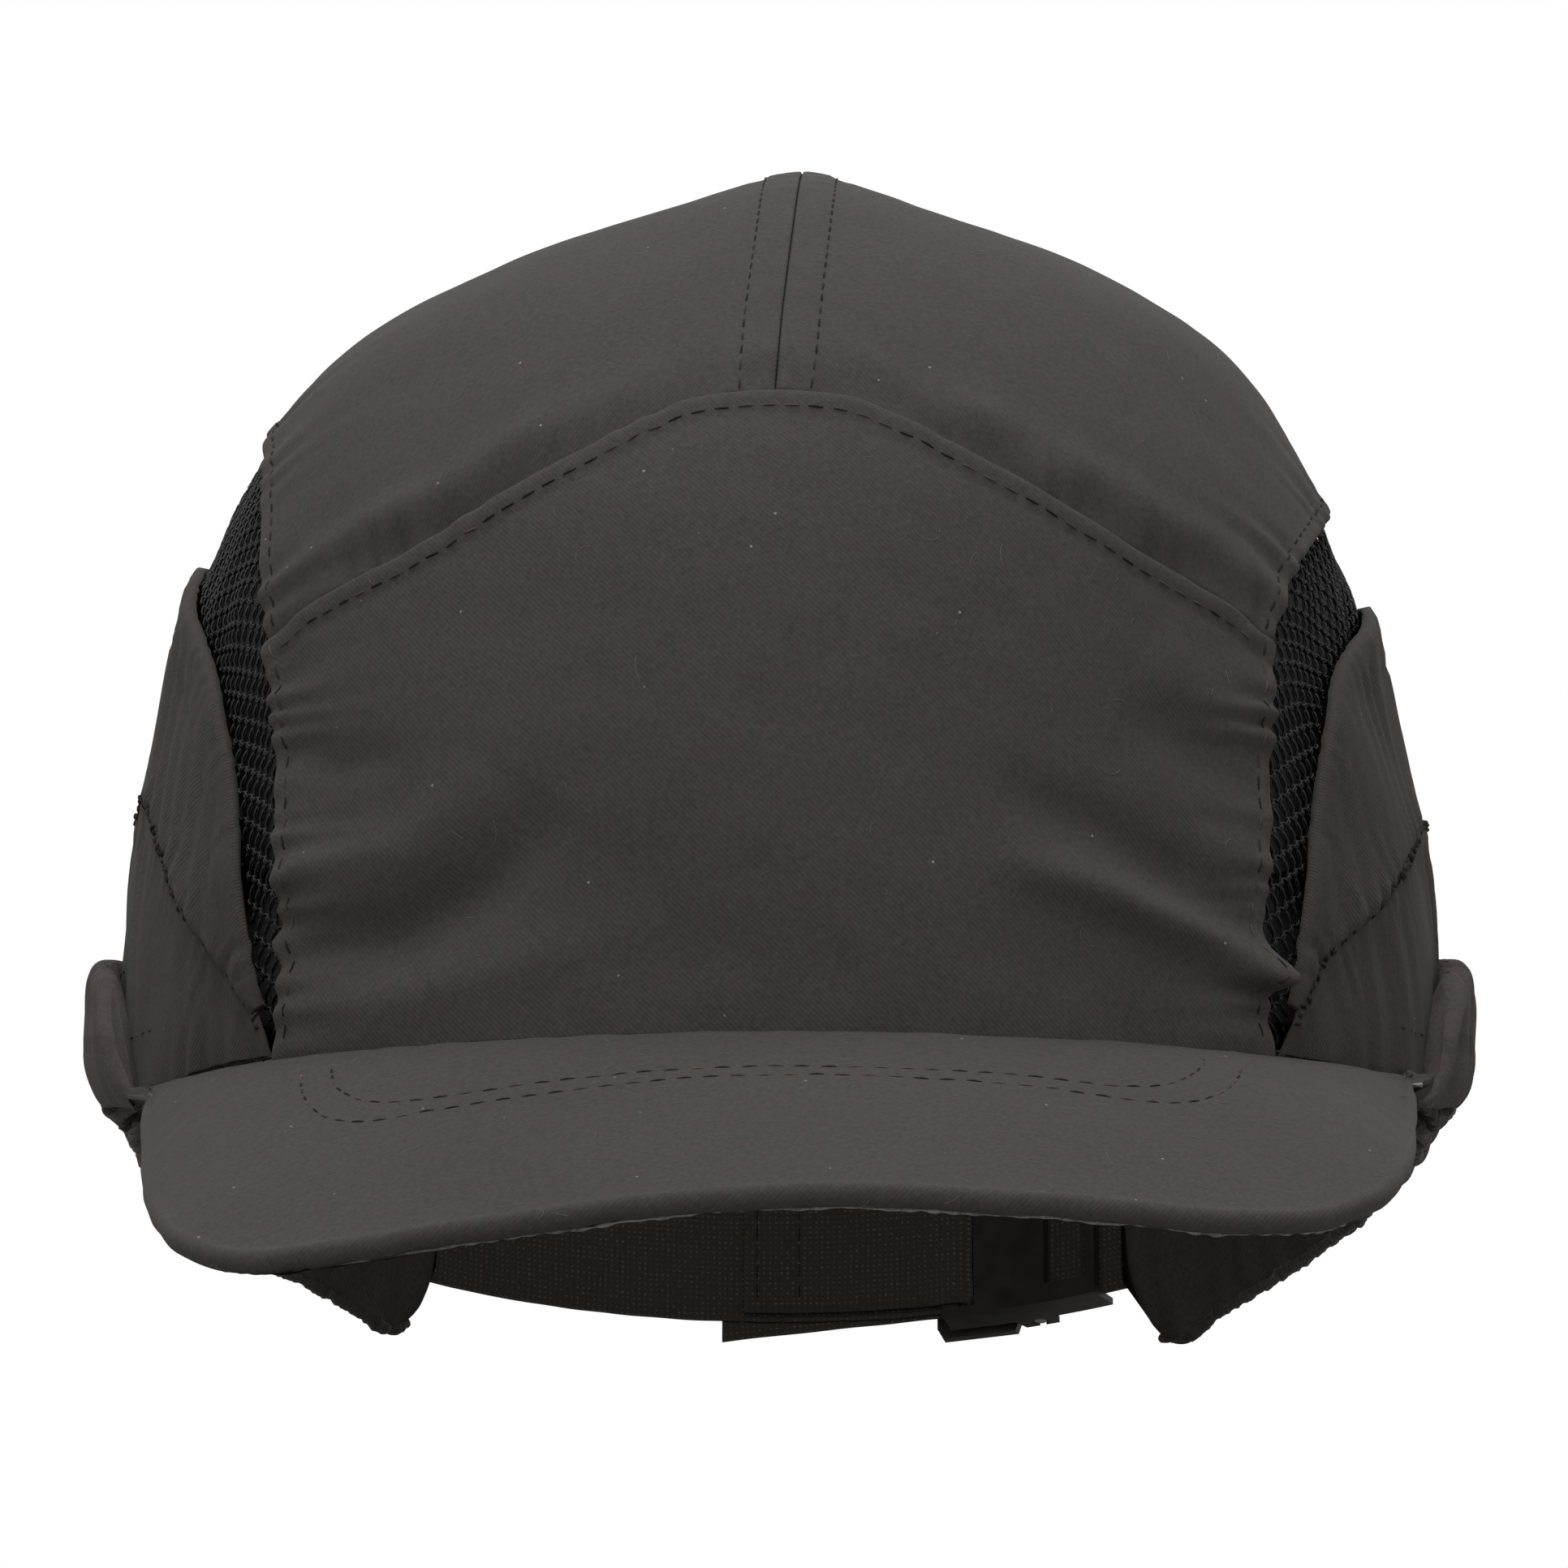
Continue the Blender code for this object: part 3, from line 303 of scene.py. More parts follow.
def cloth(name, points, thickness, material, outward=1.0):
    # a closed piece of cloth: its outer face, its back and the edge between them
    rows, columns = points.shape[:2]
    normals = gridNormals(points) * outward
    thin = np.ones((rows, columns, 1))
    thin[[0, -1]] = thin[:, [0, -1]] = 0.45
    back = points - normals * thickness * mm * thin
    u, v = away(points, "left"), away(points, "low")
    u = u - u[:, columns // 2][:, None]
    count = rows * columns
    faces = gridFaces(rows, columns, flip=outward < 0)
    faces += gridFaces(rows, columns, count, flip=outward > 0)
    index = np.arange(count).reshape(rows, columns)
    rim = np.concatenate([index[0], index[1:, -1], index[-1, -2::-1], index[-2:0:-1, 0]])
    following = np.roll(rim, -1)
    edge = np.stack([rim, rim + count, following + count, following], -1)
    if outward < 0:
        edge = edge[:, ::-1]
    faces += edge.tolist()
    vertices = np.concatenate([points.reshape(-1, 3), back.reshape(-1, 3)])
    uv = np.tile(np.stack([u, v], -1).reshape(-1, 2), (2, 1))
    return meshFrom(name, vertices, faces, material, uv)


edgeSteps = (0.0, 0.2, 0.45, 0.8, 1.3)  # rows beside an edge lie closer, in mm, to round it


def spacing(length, cell):
    count = max(2, round((length - 2.0 * edgeSteps[-1]) / cell))
    inner = np.linspace(edgeSteps[-1], length - edgeSteps[-1], count + 1)
    near = np.array(edgeSteps[:-1])
    return np.concatenate([near, inner, (length - near)[::-1]]) / length


def patch(bottom, top, left, right, cell):
    # a grid between four seams that share their corners
    size = [runOf(crownAt(edge))[-1] for edge in (bottom, top, left, right)]
    u, v = spacing(max(size[:2]), cell), spacing(max(size[2:]), cell)
    b, t, l, r = along(bottom, u), along(top, u), along(left, v), along(right, v)
    u, v = u[None, :, None], v[:, None, None]
    corners = (1 - v) * ((1 - u) * b[0] + u * b[-1]) + v * ((1 - u) * t[0] + u * t[-1])
    return (1 - v) * b + v * t + (1 - u) * l[:, None] + u * r[:, None] - corners


def away(points, edge):
    # distance from an edge over the cloth, in the unit of its points
    axis = 1 if edge in ("left", "right") else 0
    step = np.linalg.norm(np.diff(points, axis=axis), axis=-1)
    if edge in ("right", "high"):
        step = np.flip(step, axis)
    run = np.cumsum(step, axis=axis)
    zero = np.zeros_like(np.take(run, [0], axis=axis))
    run = np.concatenate([zero, run], axis=axis)
    return np.flip(run, axis) if edge in ("right", "high") else run


def roll(distance, radius=0.75):
    # a turned edge, which rounds off into the seam
    inner = np.clip(radius - distance, 0.0, radius)
    return -(radius - np.sqrt(radius**2 - inner**2))


def stitchValley(distance, at, depth=0.28, width=0.8):
    return -depth * np.exp(-((distance - at) / width) ** 2)


def pucker(run, distance, length, height, reach, seed, start=0.0):
    # short creases square to a seam, tall beside it and gone within the reach
    warp = 0.9 * drift(run[..., None] + 0.25 * distance[..., None], length * 3.1, seed)
    strength = 0.6 + 0.55 * drift(run[..., None], length * 4.3, seed + 1)
    wave = np.sin(2.0 * math.pi * run / length + 2.2 * warp)
    fade = np.exp(-(np.maximum(distance - start, 0.0) / reach) ** 1.3)
    return height * np.maximum(strength, 0.0) * wave * fade


def ridge(points, line, width, height, steps=40):
    # a soft fold along a line through (x, z) points, which fades at its ends
    path = along(np.array(line, float), np.linspace(0.0, 1.0, steps))
    flat = points[..., [0, 2]]
    gap = np.linalg.norm(flat[..., None, :] - path, axis=-1)
    nearest = gap.argmin(-1)
    ends = np.sin(math.pi * (nearest + 0.5) / steps) ** 0.7
    return height * ends * np.exp(-(gap.min(-1) / width) ** 2)


def rowAt(points, edge, distance, trim=(0.0, 0.0)):
    # a line over the cloth that keeps its distance from an edge, with its normals
    normals = gridNormals(points)
    if edge in ("low", "high"):
        points, normals = points.transpose(1, 0, 2), normals.transpose(1, 0, 2)
    if edge in ("right", "high"):
        points, normals = points[:, ::-1], normals[:, ::-1]
    line, ways = [], []
    for row, way in zip(points, normals):
        run = runOf(row) / mm
        if run[-1] > 2.0 * distance:
            line.append([np.interp(distance, run, row[:, k]) for k in range(3)])
            ways.append([np.interp(distance, run, way[:, k]) for k in range(3)])
    line, ways = np.array(line), np.array(ways)
    run = runOf(line) / mm
    kept = (run >= trim[0]) & (run <= run[-1] - trim[1])
    return line[kept], ways[kept]


def outwards(line, ways):
    # turns the normals of a row away from the middle of the cap
    middle = fromEars(np.array([0.0, 0.0, 60.0]))
    sign = np.sign(((line - middle) * ways).sum(-1, keepdims=True))
    return line, ways * np.where(sign == 0.0, 1.0, sign)


def stitches(name, rows, material, length=2.5, gap=0.6, thread=0.29, seed=1, wiggle=0.06):
    # lockstitch: each stitch is a short thread that dives into the cloth at both ends
    dice = np.random.default_rng(seed)
    stations = np.array([0.0, 0.16, 0.5, 0.84, 1.0])
    rise = np.array([-0.34, -0.02, 0.07, -0.02, -0.34]) * thread / 0.34
    girth = np.array([0.6, 0.95, 1.0, 0.95, 0.6]) * thread / 2.0
    angles = np.arange(6) * math.pi / 3.0
    vertices, faces, first = [], [], 0
    for line, ways in rows:
        run = runOf(line) / mm
        starts = np.arange(0.2, run[-1] - length, length + gap)
        starts = starts + dice.uniform(-0.12, 0.12, len(starts))
        spots = starts[:, None] + stations * length
        centre = np.stack([np.interp(spots, run, line[:, k]) for k in range(3)], -1)
        up = np.stack([np.interp(spots, run, ways[:, k]) for k in range(3)], -1)
        up /= np.linalg.norm(up, axis=-1, keepdims=True)
        forward = np.gradient(centre, axis=1)
        side = np.cross(forward, up)
        side /= np.maximum(np.linalg.norm(side, axis=-1, keepdims=True), 1e-12)
        lean = dice.uniform(-wiggle, wiggle, (len(starts), 1, 1)) * (stations - 0.5)[None, :, None] * 2.0
        centre = centre + up * rise[None, :, None] * mm + side * lean * mm
        ring = np.cos(angles)[:, None] * side[:, :, None] + np.sin(angles)[:, None] * up[:, :, None]
        ring = centre[:, :, None] + ring * girth[None, :, None, None] * mm
        for one in ring:
            vertices.append(one.reshape(-1, 3))
            faces += gridFaces(5, 6, first, closed=True)
            faces += [list(range(first, first + 6))[::-1], list(range(first + 24, first + 30))]
            first += 30
    return meshFrom(name, np.concatenate(vertices), faces, material)


def ropes(name, paths, radius, material, sides=6):
    # round strands of one radius, or of a radius for each point, in mm
    angles = np.arange(sides) * 2.0 * math.pi / sides
    vertices, faces, first = [], [], 0
    for path, ways in paths:
        forward = np.gradient(path, axis=0)
        forward /= np.maximum(np.linalg.norm(forward, axis=-1, keepdims=True), 1e-12)
        side = np.cross(forward, ways)
        side /= np.maximum(np.linalg.norm(side, axis=-1, keepdims=True), 1e-12)
        up = np.cross(side, forward)
        size = np.broadcast_to(np.asarray(radius, float), (len(path),))[:, None, None] * mm
        ring = path[:, None] + size * (np.cos(angles)[:, None] * side[:, None]
                                       + np.sin(angles)[:, None] * up[:, None])
        vertices.append(ring.reshape(-1, 3))
        count = len(path)
        faces += gridFaces(count, sides, first, closed=True)
        last = first + (count - 1) * sides
        faces += [list(range(first, first + sides))[::-1], list(range(last, last + sides))]
        first += count * sides
    return meshFrom(name, np.concatenate(vertices), faces, material)


def loft(name, rings, material):
    # a closed soft body through rings of equal length
    rings = np.asarray(rings)
    rows, columns = rings.shape[:2]
    girth = np.concatenate([np.zeros((rows, 1)), np.cumsum(
        np.linalg.norm(np.diff(rings, axis=1), axis=-1), axis=1)], 1)
    length = runOf(rings.mean(1))
    uv = np.stack([girth, np.broadcast_to(length[:, None], girth.shape)], -1).reshape(-1, 2)
    faces = gridFaces(rows, columns, closed=True)
    faces += [list(range(columns))[::-1], list(range((rows - 1) * columns, rows * columns))]
    return outsideOut(meshFrom(name, rings.reshape(-1, 3), faces, material, uv))


def outsideOut(thing):
    # turns a closed mesh's faces outwards
    points = positions(thing)
    thing.data.calc_loop_triangles()
    corners = np.zeros(len(thing.data.loop_triangles) * 3, np.int32)
    thing.data.loop_triangles.foreach_get("vertices", corners)
    a, b, c = (points[corners.reshape(-1, 3)[:, k]] for k in range(3))
    if (a * np.cross(b, c)).sum() < 0.0:
        thing.data.flip_normals()
    return thing


def tone(code):
    # an sRGB hex colour as the linear colour that a shader takes
    parts = [int(code[i:i + 2], 16) / 255.0 for i in (0, 2, 4)]
    return (*[c / 12.92 if c <= 0.04045 else ((c + 0.055) / 1.055) ** 2.4 for c in parts], 1.0)


def add(tree, kind, settings, links=()):
    # adds a node, sets its options or inputs, and links what feeds it
    made = tree.nodes.new("ShaderNode" + kind)
    for key, value in settings.items():
        if isinstance(key, str) and hasattr(made, key):
            setattr(made, key, value)
        else:
            made.inputs[key].default_value = value
    for key, source in dict(links).items():
        tree.links.new(source, made.inputs[key])
    return made


def newMaterial(name, shaderSettings):
    material = bpy.data.materials.new(name)
    material.use_nodes = True
    tree = material.node_tree
    shader = tree.nodes["Principled BSDF"]
    for key, value in shaderSettings.items():
        shader.inputs[key].default_value = value
    return material, tree, shader


def blendOf(tree, factor, low, high):
    # a colour between two, by a factor; each may be a code or a socket
    settings, links = {"data_type": "RGBA"}, {0: factor}
    for key, value in ((6, low), (7, high)):
        if isinstance(value, str):
            settings[key] = tone(value)
        else:
            links[key] = value
    return add(tree, "Mix", settings, links).outputs[2]


def wovenCloth(name, look):
    # Spun polyester-cotton twill: matt, with a soft bloom at grazing angles, fine slanting
    # ribs, a slight mix of warm and cold yarns, and a few specks of lint.
    material, tree, shader = newMaterial(name, {
        "Roughness": look["roughness"], "IOR": 1.5, "Specular IOR Level": 0.25,
        "Sheen Weight": look["sheen"], "Sheen Roughness": 0.45, "Sheen Tint": tone("b9b2ae")})
    grain = add(tree, "UVMap", {"uv_map": "grain"}).outputs["UV"]
    place = add(tree, "TexCoord", {}).outputs["Object"]
    # Blender's diagonal bands lie 0.444 / scale apart
    ribs = add(tree, "TexWave", {"wave_type": "BANDS", "bands_direction": "DIAGONAL",
                                 "Scale": 0.444 / (look["ribPitch"] * mm), "Distortion": 0.6,
                                 "Detail": 1.0, "Detail Scale": 0.3}, {"Vector": grain})
    yarn = add(tree, "TexNoise", {"Scale": 1.0 / (0.55 * mm), "Detail": 2.0, "Roughness": 0.6},
               {"Vector": place})
    melange = add(tree, "TexNoise", {"Scale": 1.0 / (0.7 * mm), "Detail": 3.0, "Roughness": 0.7},
                  {"Vector": place})
    patchy = add(tree, "TexNoise", {"Scale": 1.0 / (55.0 * mm), "Detail": 2.0}, {"Vector": place})
    warmth = add(tree, "TexNoise", {"Scale": 1.0 / (3.1 * mm), "Detail": 2.0}, {"Vector": place})
    share = add(tree, "MapRange", {1: 0.35, 2: 0.65}, {0: melange.outputs["Fac"]}).outputs[0]
    mixed = blendOf(tree, share, look["dark"], look["light"])
    warmed = blendOf(tree, add(tree, "MapRange", {1: 0.42, 2: 0.75, 4: 0.55},
                               {0: warmth.outputs["Fac"]}).outputs[0], mixed, look["warm"])
    ribbed = add(tree, "Mix", {"data_type": "RGBA", "blend_type": "MULTIPLY", 0: 1.0},
                 {6: warmed, 7: add(tree, "MapRange", {3: 0.955, 4: 1.035},
                                    {0: ribs.outputs["Fac"]}).outputs[0]}).outputs[2]
    worn = add(tree, "Mix", {"data_type": "RGBA", "blend_type": "MULTIPLY", 0: 1.0},
               {6: ribbed, 7: add(tree, "MapRange", {1: 0.3, 2: 0.7, 3: 0.93, 4: 1.07},
                                  {0: patchy.outputs["Fac"]}).outputs[0]}).outputs[2]
    lint = add(tree, "TexVoronoi", {"feature": "F1", "Scale": 1.0 / (3.4 * mm), "Randomness": 1.0},
               {"Vector": place})
    speck = add(tree, "MapRange", {1: 0.045, 2: 0.065, 3: 1.0, 4: 0.0},
                {0: lint.outputs["Distance"]}).outputs[0]
    chosen = add(tree, "Math", {"operation": "GREATER_THAN", 1: 1.0 - look["lint"]},
                 {0: add(tree, "SeparateColor", {}, {0: lint.outputs["Color"]}).outputs[0]}).outputs[0]
    shown = add(tree, "Math", {"operation": "MULTIPLY"}, {0: speck, 1: chosen}).outputs[0]
    faded = add(tree, "Math", {"operation": "MULTIPLY", 1: 0.5}, {0: shown}).outputs[0]
    tree.links.new(blendOf(tree, faded, worn, "9a9896"), shader.inputs["Base Color"])
    relief = add(tree, "Math", {"operation": "MULTIPLY_ADD", 1: 0.55},
                 {0: ribs.outputs["Fac"], 2: yarn.outputs["Fac"]}).outputs[0]
    bump = add(tree, "Bump", {"Strength": look["bump"], "Distance": 0.14 * mm}, {"Height": relief})
    tree.links.new(bump.outputs[0], shader.inputs["Normal"])
    return material


def plainFinish(name, look):
    # One base colour with a fine mottle and a fine grain in the surface. The look's grain
    # is its size in mm, and its relief is the depth of that grain.
    material, tree, shader = newMaterial(name, {
        "Roughness": look["roughness"], "IOR": look.get("ior", 1.5),
        "Metallic": look.get("metallic", 0.0), "Sheen Weight": look.get("sheen", 0.0)})
    place = add(tree, "TexCoord", {}).outputs["Object"]
    fine = add(tree, "TexNoise", {"Scale": 1.0 / (look["grain"] * mm), "Detail": 3.0, "Roughness": 0.65},
               {"Vector": place})
    broad = add(tree, "TexNoise", {"Scale": 1.0 / (look["grain"] * 14.0 * mm), "Detail": 2.0},
                {"Vector": place})
    both = add(tree, "Mix", {"data_type": "FLOAT", 0: 0.4},
               {2: fine.outputs["Fac"], 3: broad.outputs["Fac"]}).outputs[0]
    spread = add(tree, "MapRange", {1: 0.36, 2: 0.64}, {0: both}).outputs[0]
    tree.links.new(blendOf(tree, spread, look["dark"], look["light"]), shader.inputs["Base Color"])
    rough = add(tree, "MapRange", {1: 0.3, 2: 0.7, 3: look["roughness"] - 0.06,
                                   4: min(look["roughness"] + 0.06, 1.0)}, {0: broad.outputs["Fac"]})
    tree.links.new(rough.outputs[0], shader.inputs["Roughness"])
    bump = add(tree, "Bump", {"Strength": look.get("bump", 0.4), "Distance": look["relief"] * mm},
               {"Height": fine.outputs["Fac"]})
    tree.links.new(bump.outputs[0], shader.inputs["Normal"])
    return material


def webbingFinish(name, look):
    # Narrow woven elastic: near black, with lengthwise cords and cross picks; where both are at their
    # highest the colour is painted lighter, a painted highlight on the weave.
    material, tree, shader = newMaterial(name, {"Roughness": 0.8, "IOR": 1.5,
                                                "Specular IOR Level": 0.3, "Sheen Weight": 0.15})
    grain = add(tree, "UVMap", {"uv_map": "grain"}).outputs["UV"]
    place = add(tree, "TexCoord", {}).outputs["Object"]
    # Blender's straight bands lie 0.314 / scale apart
    cords = add(tree, "TexWave", {"bands_direction": "X", "Scale": 0.314 / (look["cord"] * mm),
                                  "Distortion": 0.5, "Detail": 1.0, "Detail Scale": 0.5},
                {"Vector": grain}).outputs["Fac"]
    picks = add(tree, "TexWave", {"bands_direction": "Y", "Scale": 0.314 / (look["pick"] * mm),
                                  "Distortion": 0.6, "Detail": 1.0, "Detail Scale": 0.5},
                {"Vector": grain}).outputs["Fac"]
    mottle = add(tree, "TexNoise", {"Scale": 1.0 / (0.8 * mm), "Detail": 3.0}, {"Vector": place})
    # painted highlight: the colour is lighter where the cords and picks cross at their highest
    point = add(tree, "Math", {"operation": "MULTIPLY"}, {0: cords, 1: picks}).outputs[0]
    sharp = add(tree, "MapRange", {1: 0.45, 2: 0.95}, {0: point}).outputs[0]
    broken = add(tree, "Math", {"operation": "MULTIPLY"},
                 {0: sharp, 1: add(tree, "MapRange", {1: 0.4, 2: 0.62},
                                   {0: mottle.outputs["Fac"]}).outputs[0]}).outputs[0]
    tree.links.new(blendOf(tree, broken, look["dark"], look["light"]), shader.inputs["Base Color"])
    relief = add(tree, "Math", {"operation": "ADD"}, {0: cords, 1: picks}).outputs[0]
    bump = add(tree, "Bump", {"Strength": 0.6, "Distance": 0.22 * mm}, {"Height": relief})
    tree.links.new(bump.outputs[0], shader.inputs["Normal"])
    return material


def threadFinish(name, look):
    # Spun polyester thread: each stitch takes a slightly different shade.
    material, tree, shader = newMaterial(name, {"Roughness": 0.8, "IOR": 1.5,
                                                "Specular IOR Level": 0.2})
    lot = add(tree, "NewGeometry", {}).outputs["Random Per Island"]
    share = add(tree, "MapRange", {1: look["from"], 2: 1.0}, {0: lot}).outputs[0]
    place = add(tree, "TexCoord", {}).outputs["Object"]
    twist = add(tree, "TexNoise", {"Scale": 1.0 / (0.18 * mm), "Detail": 1.0}, {"Vector": place})
    tree.links.new(blendOf(tree, share, look["dark"], look["light"]), shader.inputs["Base Color"])
    bump = add(tree, "Bump", {"Strength": 0.5, "Distance": 0.06 * mm}, {"Height": twist.outputs["Fac"]})
    tree.links.new(bump.outputs[0], shader.inputs["Normal"])
    return material


# the panels and the peak: a matt charcoal with fine slanting ribs
twill = wovenCloth("polyesterCottonTwill", dict(
    dark="343131", light="3f3c3c", warm="403838", roughness=0.92, sheen=0.03, ribPitch=0.55,
    lint=0.2, bump=0.28))
# the side panels and ear bands: the same cloth, coloured darker all over as painted shade for the dimmer
# light on the cap's sides; their creases are in the shape
sideShadeTwill = wovenCloth("sideShadeBandTwill", dict(
    dark="2f2c2b", light="393535", warm="3a3231", roughness=0.92, sheen=0.03, ribPitch=0.55,
    lint=0.06, bump=0.5))
# the casings: the same cloth with its ribs standing out over the padding
darkTwill = wovenCloth("shadedCasingTwill", dict(
    dark="34302f", light="403b3a", warm="403736", roughness=0.92, sheen=0.03, ribPitch=0.55,
    lint=0.04, bump=0.5))
# bright filament yarn dyed black, so that each loop has a thin highlight
meshYarn = plainFinish("knittedPolyesterYarn", dict(
    dark="040404", light="090909", roughness=0.5, grain=0.25, relief=0.05, ior=1.4))
# close woven ribbon: near black and dull
ribbonTape = plainFinish("blackRibbonTape", dict(
    dark="100f0f", light="1c1b1a", roughness=0.75, grain=0.4, relief=0.08, sheen=0.1))
# looped cotton: soft brown loops, coloured darker where the grain's relief is low, as painted shade in
# the pits between them
towelling = plainFinish("cottonTowelling", dict(
    dark="0f0e0c", light="35322d", roughness=0.95, grain=1.1, relief=0.9, sheen=0.3, bump=0.9))
edgeTowelling = plainFinish("brushedEdgeTowelling", dict(
    dark="1d1a18", light="3c3733", roughness=0.95, grain=0.9, relief=0.6, sheen=0.2, bump=0.9))
# sliced open-cell foam: a mid grey that takes no highlight
openFoam = plainFinish("openCellFoam", dict(
    dark="3b3b3c", light="59595a", roughness=0.95, grain=0.5, relief=0.3))
# skived closed-cell foam: charcoal with a faint skin
evaFoam = plainFinish("closedCellEvaFoam", dict(
    dark="222224", light="2e2e31", roughness=0.75, grain=0.35, relief=0.10))
# injection-moulded ABS with a spark-textured face: black and only just satin, coloured darker still than
# black plastic as painted shade behind the mesh
mouldedShell = plainFinish("texturedMouldedAbs", dict(
    dark="0b0b0b", light="101010", roughness=0.6, grain=0.3, relief=0.03))
# moulded acetal: a smooth, slightly waxy satin
mouldedAcetal = plainFinish("satinMouldedAcetal", dict(
    dark="262220", light="2d2927", roughness=0.42, grain=0.25, relief=0.012, ior=1.48))
# extruded sheet: slate grey, with a broad dull shine
boardSheet = plainFinish("extrudedPolyethyleneSheet", dict(
    dark="35363a", light="404145", roughness=0.5, grain=0.8, relief=0.03))
# drawn steel wire: a bright, narrow highlight
drawnSteel = plainFinish("brightDrawnSteelPin", dict(
    dark="9a9a9c", light="b4b4b6", roughness=0.24, metallic=1.0, grain=0.2, relief=0.004))
# woven satin label tape: off-white with a soft gleam
wovenLabel = plainFinish("wovenSatinLabel", dict(
    dark="a9a8a4", light="c4c3bf", roughness=0.6, grain=0.3, relief=0.05, sheen=0.2))
elastic = webbingFinish("wovenElasticWebbing", dict(dark="332d28", light="665c50", cord=0.8, pick=0.85))
darkThread = threadFinish("spunPolyesterThread", {"dark": "0f0d0c", "light": "2f2925", "from": 0.25})
greyThread = threadFinish("brownSpunThread", {"dark": "171311", "light": "50463d", "from": 0.3})
# loose cotton fibres: pale hairs, drawn thicker than real ones so that they show
lintFibre = plainFinish("pillingCottonFibre", dict(
    dark="5c5a59", light="7e7b79", roughness=0.9, grain=0.5, relief=0.01))
# cut twill that has frayed: a pale broken line
rawEdge = plainFinish("frayedRawTwillEdge", dict(
    dark="4b4a49", light="908f8d", roughness=0.95, grain=0.5, relief=0.2))


def wear(thing, body="cap"):
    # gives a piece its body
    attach(thing, body)
    return thing


def sheetOf(replaced):
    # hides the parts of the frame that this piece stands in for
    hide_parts(*replaced)


front = dict(cell=0.8, seamWidth=3.3, sideStitch=2.9, hemOverhang=0.9)
# Folds that run down to the corners above the peak: their (x, z) points, width and
# height, which is below zero for a hollow.
frontFolds = [
    ([(26, 56), (40, 52.5), (54, 47.5), (64, 43.5), (72, 40)], 3.0, 1.9),
    ([(28, 65), (42, 60), (54, 53), (66, 47.5)], 4.0, -1.7),
    ([(48, 84), (58, 80), (68, 77)], 5.0, 0.9),
    ([(44, 76), (56, 71), (68, 66)], 4.4, -1.1),
    ([(-72, 50), (-61, 45.5), (-49, 46), (-37, 53), (-28, 64)], 4.2, -2.3),
    ([(-70, 61), (-59, 56), (-47, 58), (-37, 68)], 4.8, 1.7),
    ([(-66, 41), (-52, 38), (-34, 42), (-14, 48)], 4.0, 1.0),
    ([(-68, 74), (-58, 70), (-48, 71)], 2.6, -0.9)]


def makeFrontPanel():
    low = {s: seam(meshFront[s], s) for s in (-1, 1)}
    arch = np.vstack([seam(archSeam[-1], -1)[::-1], seam(archSeam[1])[1:]])
    hem = hemSeam(-meshFront[-1][0][0], meshFront[1][0][0])
    hem[0], hem[-1] = low[-1][0], low[1][0]
    arch[0], arch[-1] = low[-1][-1], low[1][-1]
    places = patch(hem, arch, low[-1], low[1], front["cell"])
    base, normals = crownAt(places), normalAt(places)
    edge = {side: away(base, side) for side in ("left", "right", "low", "high")}
    relief = sum(roll(edge[side]) for side in ("left", "right", "high"))
    strip = smooth(front["seamWidth"] - 0.6, front["seamWidth"] + 0.9, edge["high"])
    relief = relief + 0.55 * (1.0 - strip)
    relief += stitchValley(edge["high"], front["seamWidth"], 0.3, 0.9)
    for side in ("left", "right"):
        relief += 0.35 * (1.0 - smooth(2.4, 4.2, edge[side]))
        relief += stitchValley(edge[side], front["sideStitch"], 0.3, 0.8)
    height = base[..., 2]
    belowArch = 1.0 - smooth(84.0, 100.0, height)
    relief += pucker(edge["low"], edge["left"], 4.6, 0.62, 9.0, 11, 1.0) * belowArch
    relief += pucker(edge["low"], edge["right"], 5.2, 0.55, 8.0, 14, 1.0) * belowArch
    relief += pucker(edge["left"], edge["high"], 9.0, 0.16, 7.0, 17, 3.0)
    relief += pucker(edge["left"], edge["low"], 11.0, 0.22, 5.0, 19)
    relief += front["hemOverhang"] * np.exp(-(edge["low"] / 7.0) ** 2)
    relief += 0.24 * drift(base, 36.0, 21) + 0.06 * drift(base, 9.0, 22)
    for line, width, tall in frontFolds:
        relief += ridge(base, line, width, tall)
    # a lip of the panel laps over the mesh just above the right corner
    lip = np.exp(-((height - 43.4) / 2.3) ** 2) * np.exp(-(edge["right"] / 5.5) ** 2)
    pinch = np.exp(-((height - 46.5) / 1.9) ** 2) * np.exp(-(edge["left"] / 4.0) ** 2)
    relief += 1.0 * lip + 0.5 * pinch
    points = base + normals * relief[..., None]
    points[..., 2] -= 1.1 * np.exp(-(edge["low"] / 4.0) ** 2)
    points[..., 0] += 3.2 * lip - 1.3 * pinch
    points[..., 2] -= 1.6 * lip
    points = settle(points)
    panel = wear(cloth("front_panel_cloth", points, cap["cloth"], twill))
    sheetOf(["front_panel"])
    rows = [rowAt(points, "high", front["seamWidth"], (3.5, 3.5)),
            rowAt(points, "left", front["sideStitch"], (2.0, 1.0)),
            rowAt(points, "right", front["sideStitch"], (2.0, 1.0))]
    sewn = stitches("front_panel_topstitch", [outwards(*row) for row in rows], greyThread, seed=31)
    wear(sewn)
    print("front panel sewn")


crownCut = dict(cell=1.0, centreStitch=5.2, sideStitch=3.1)


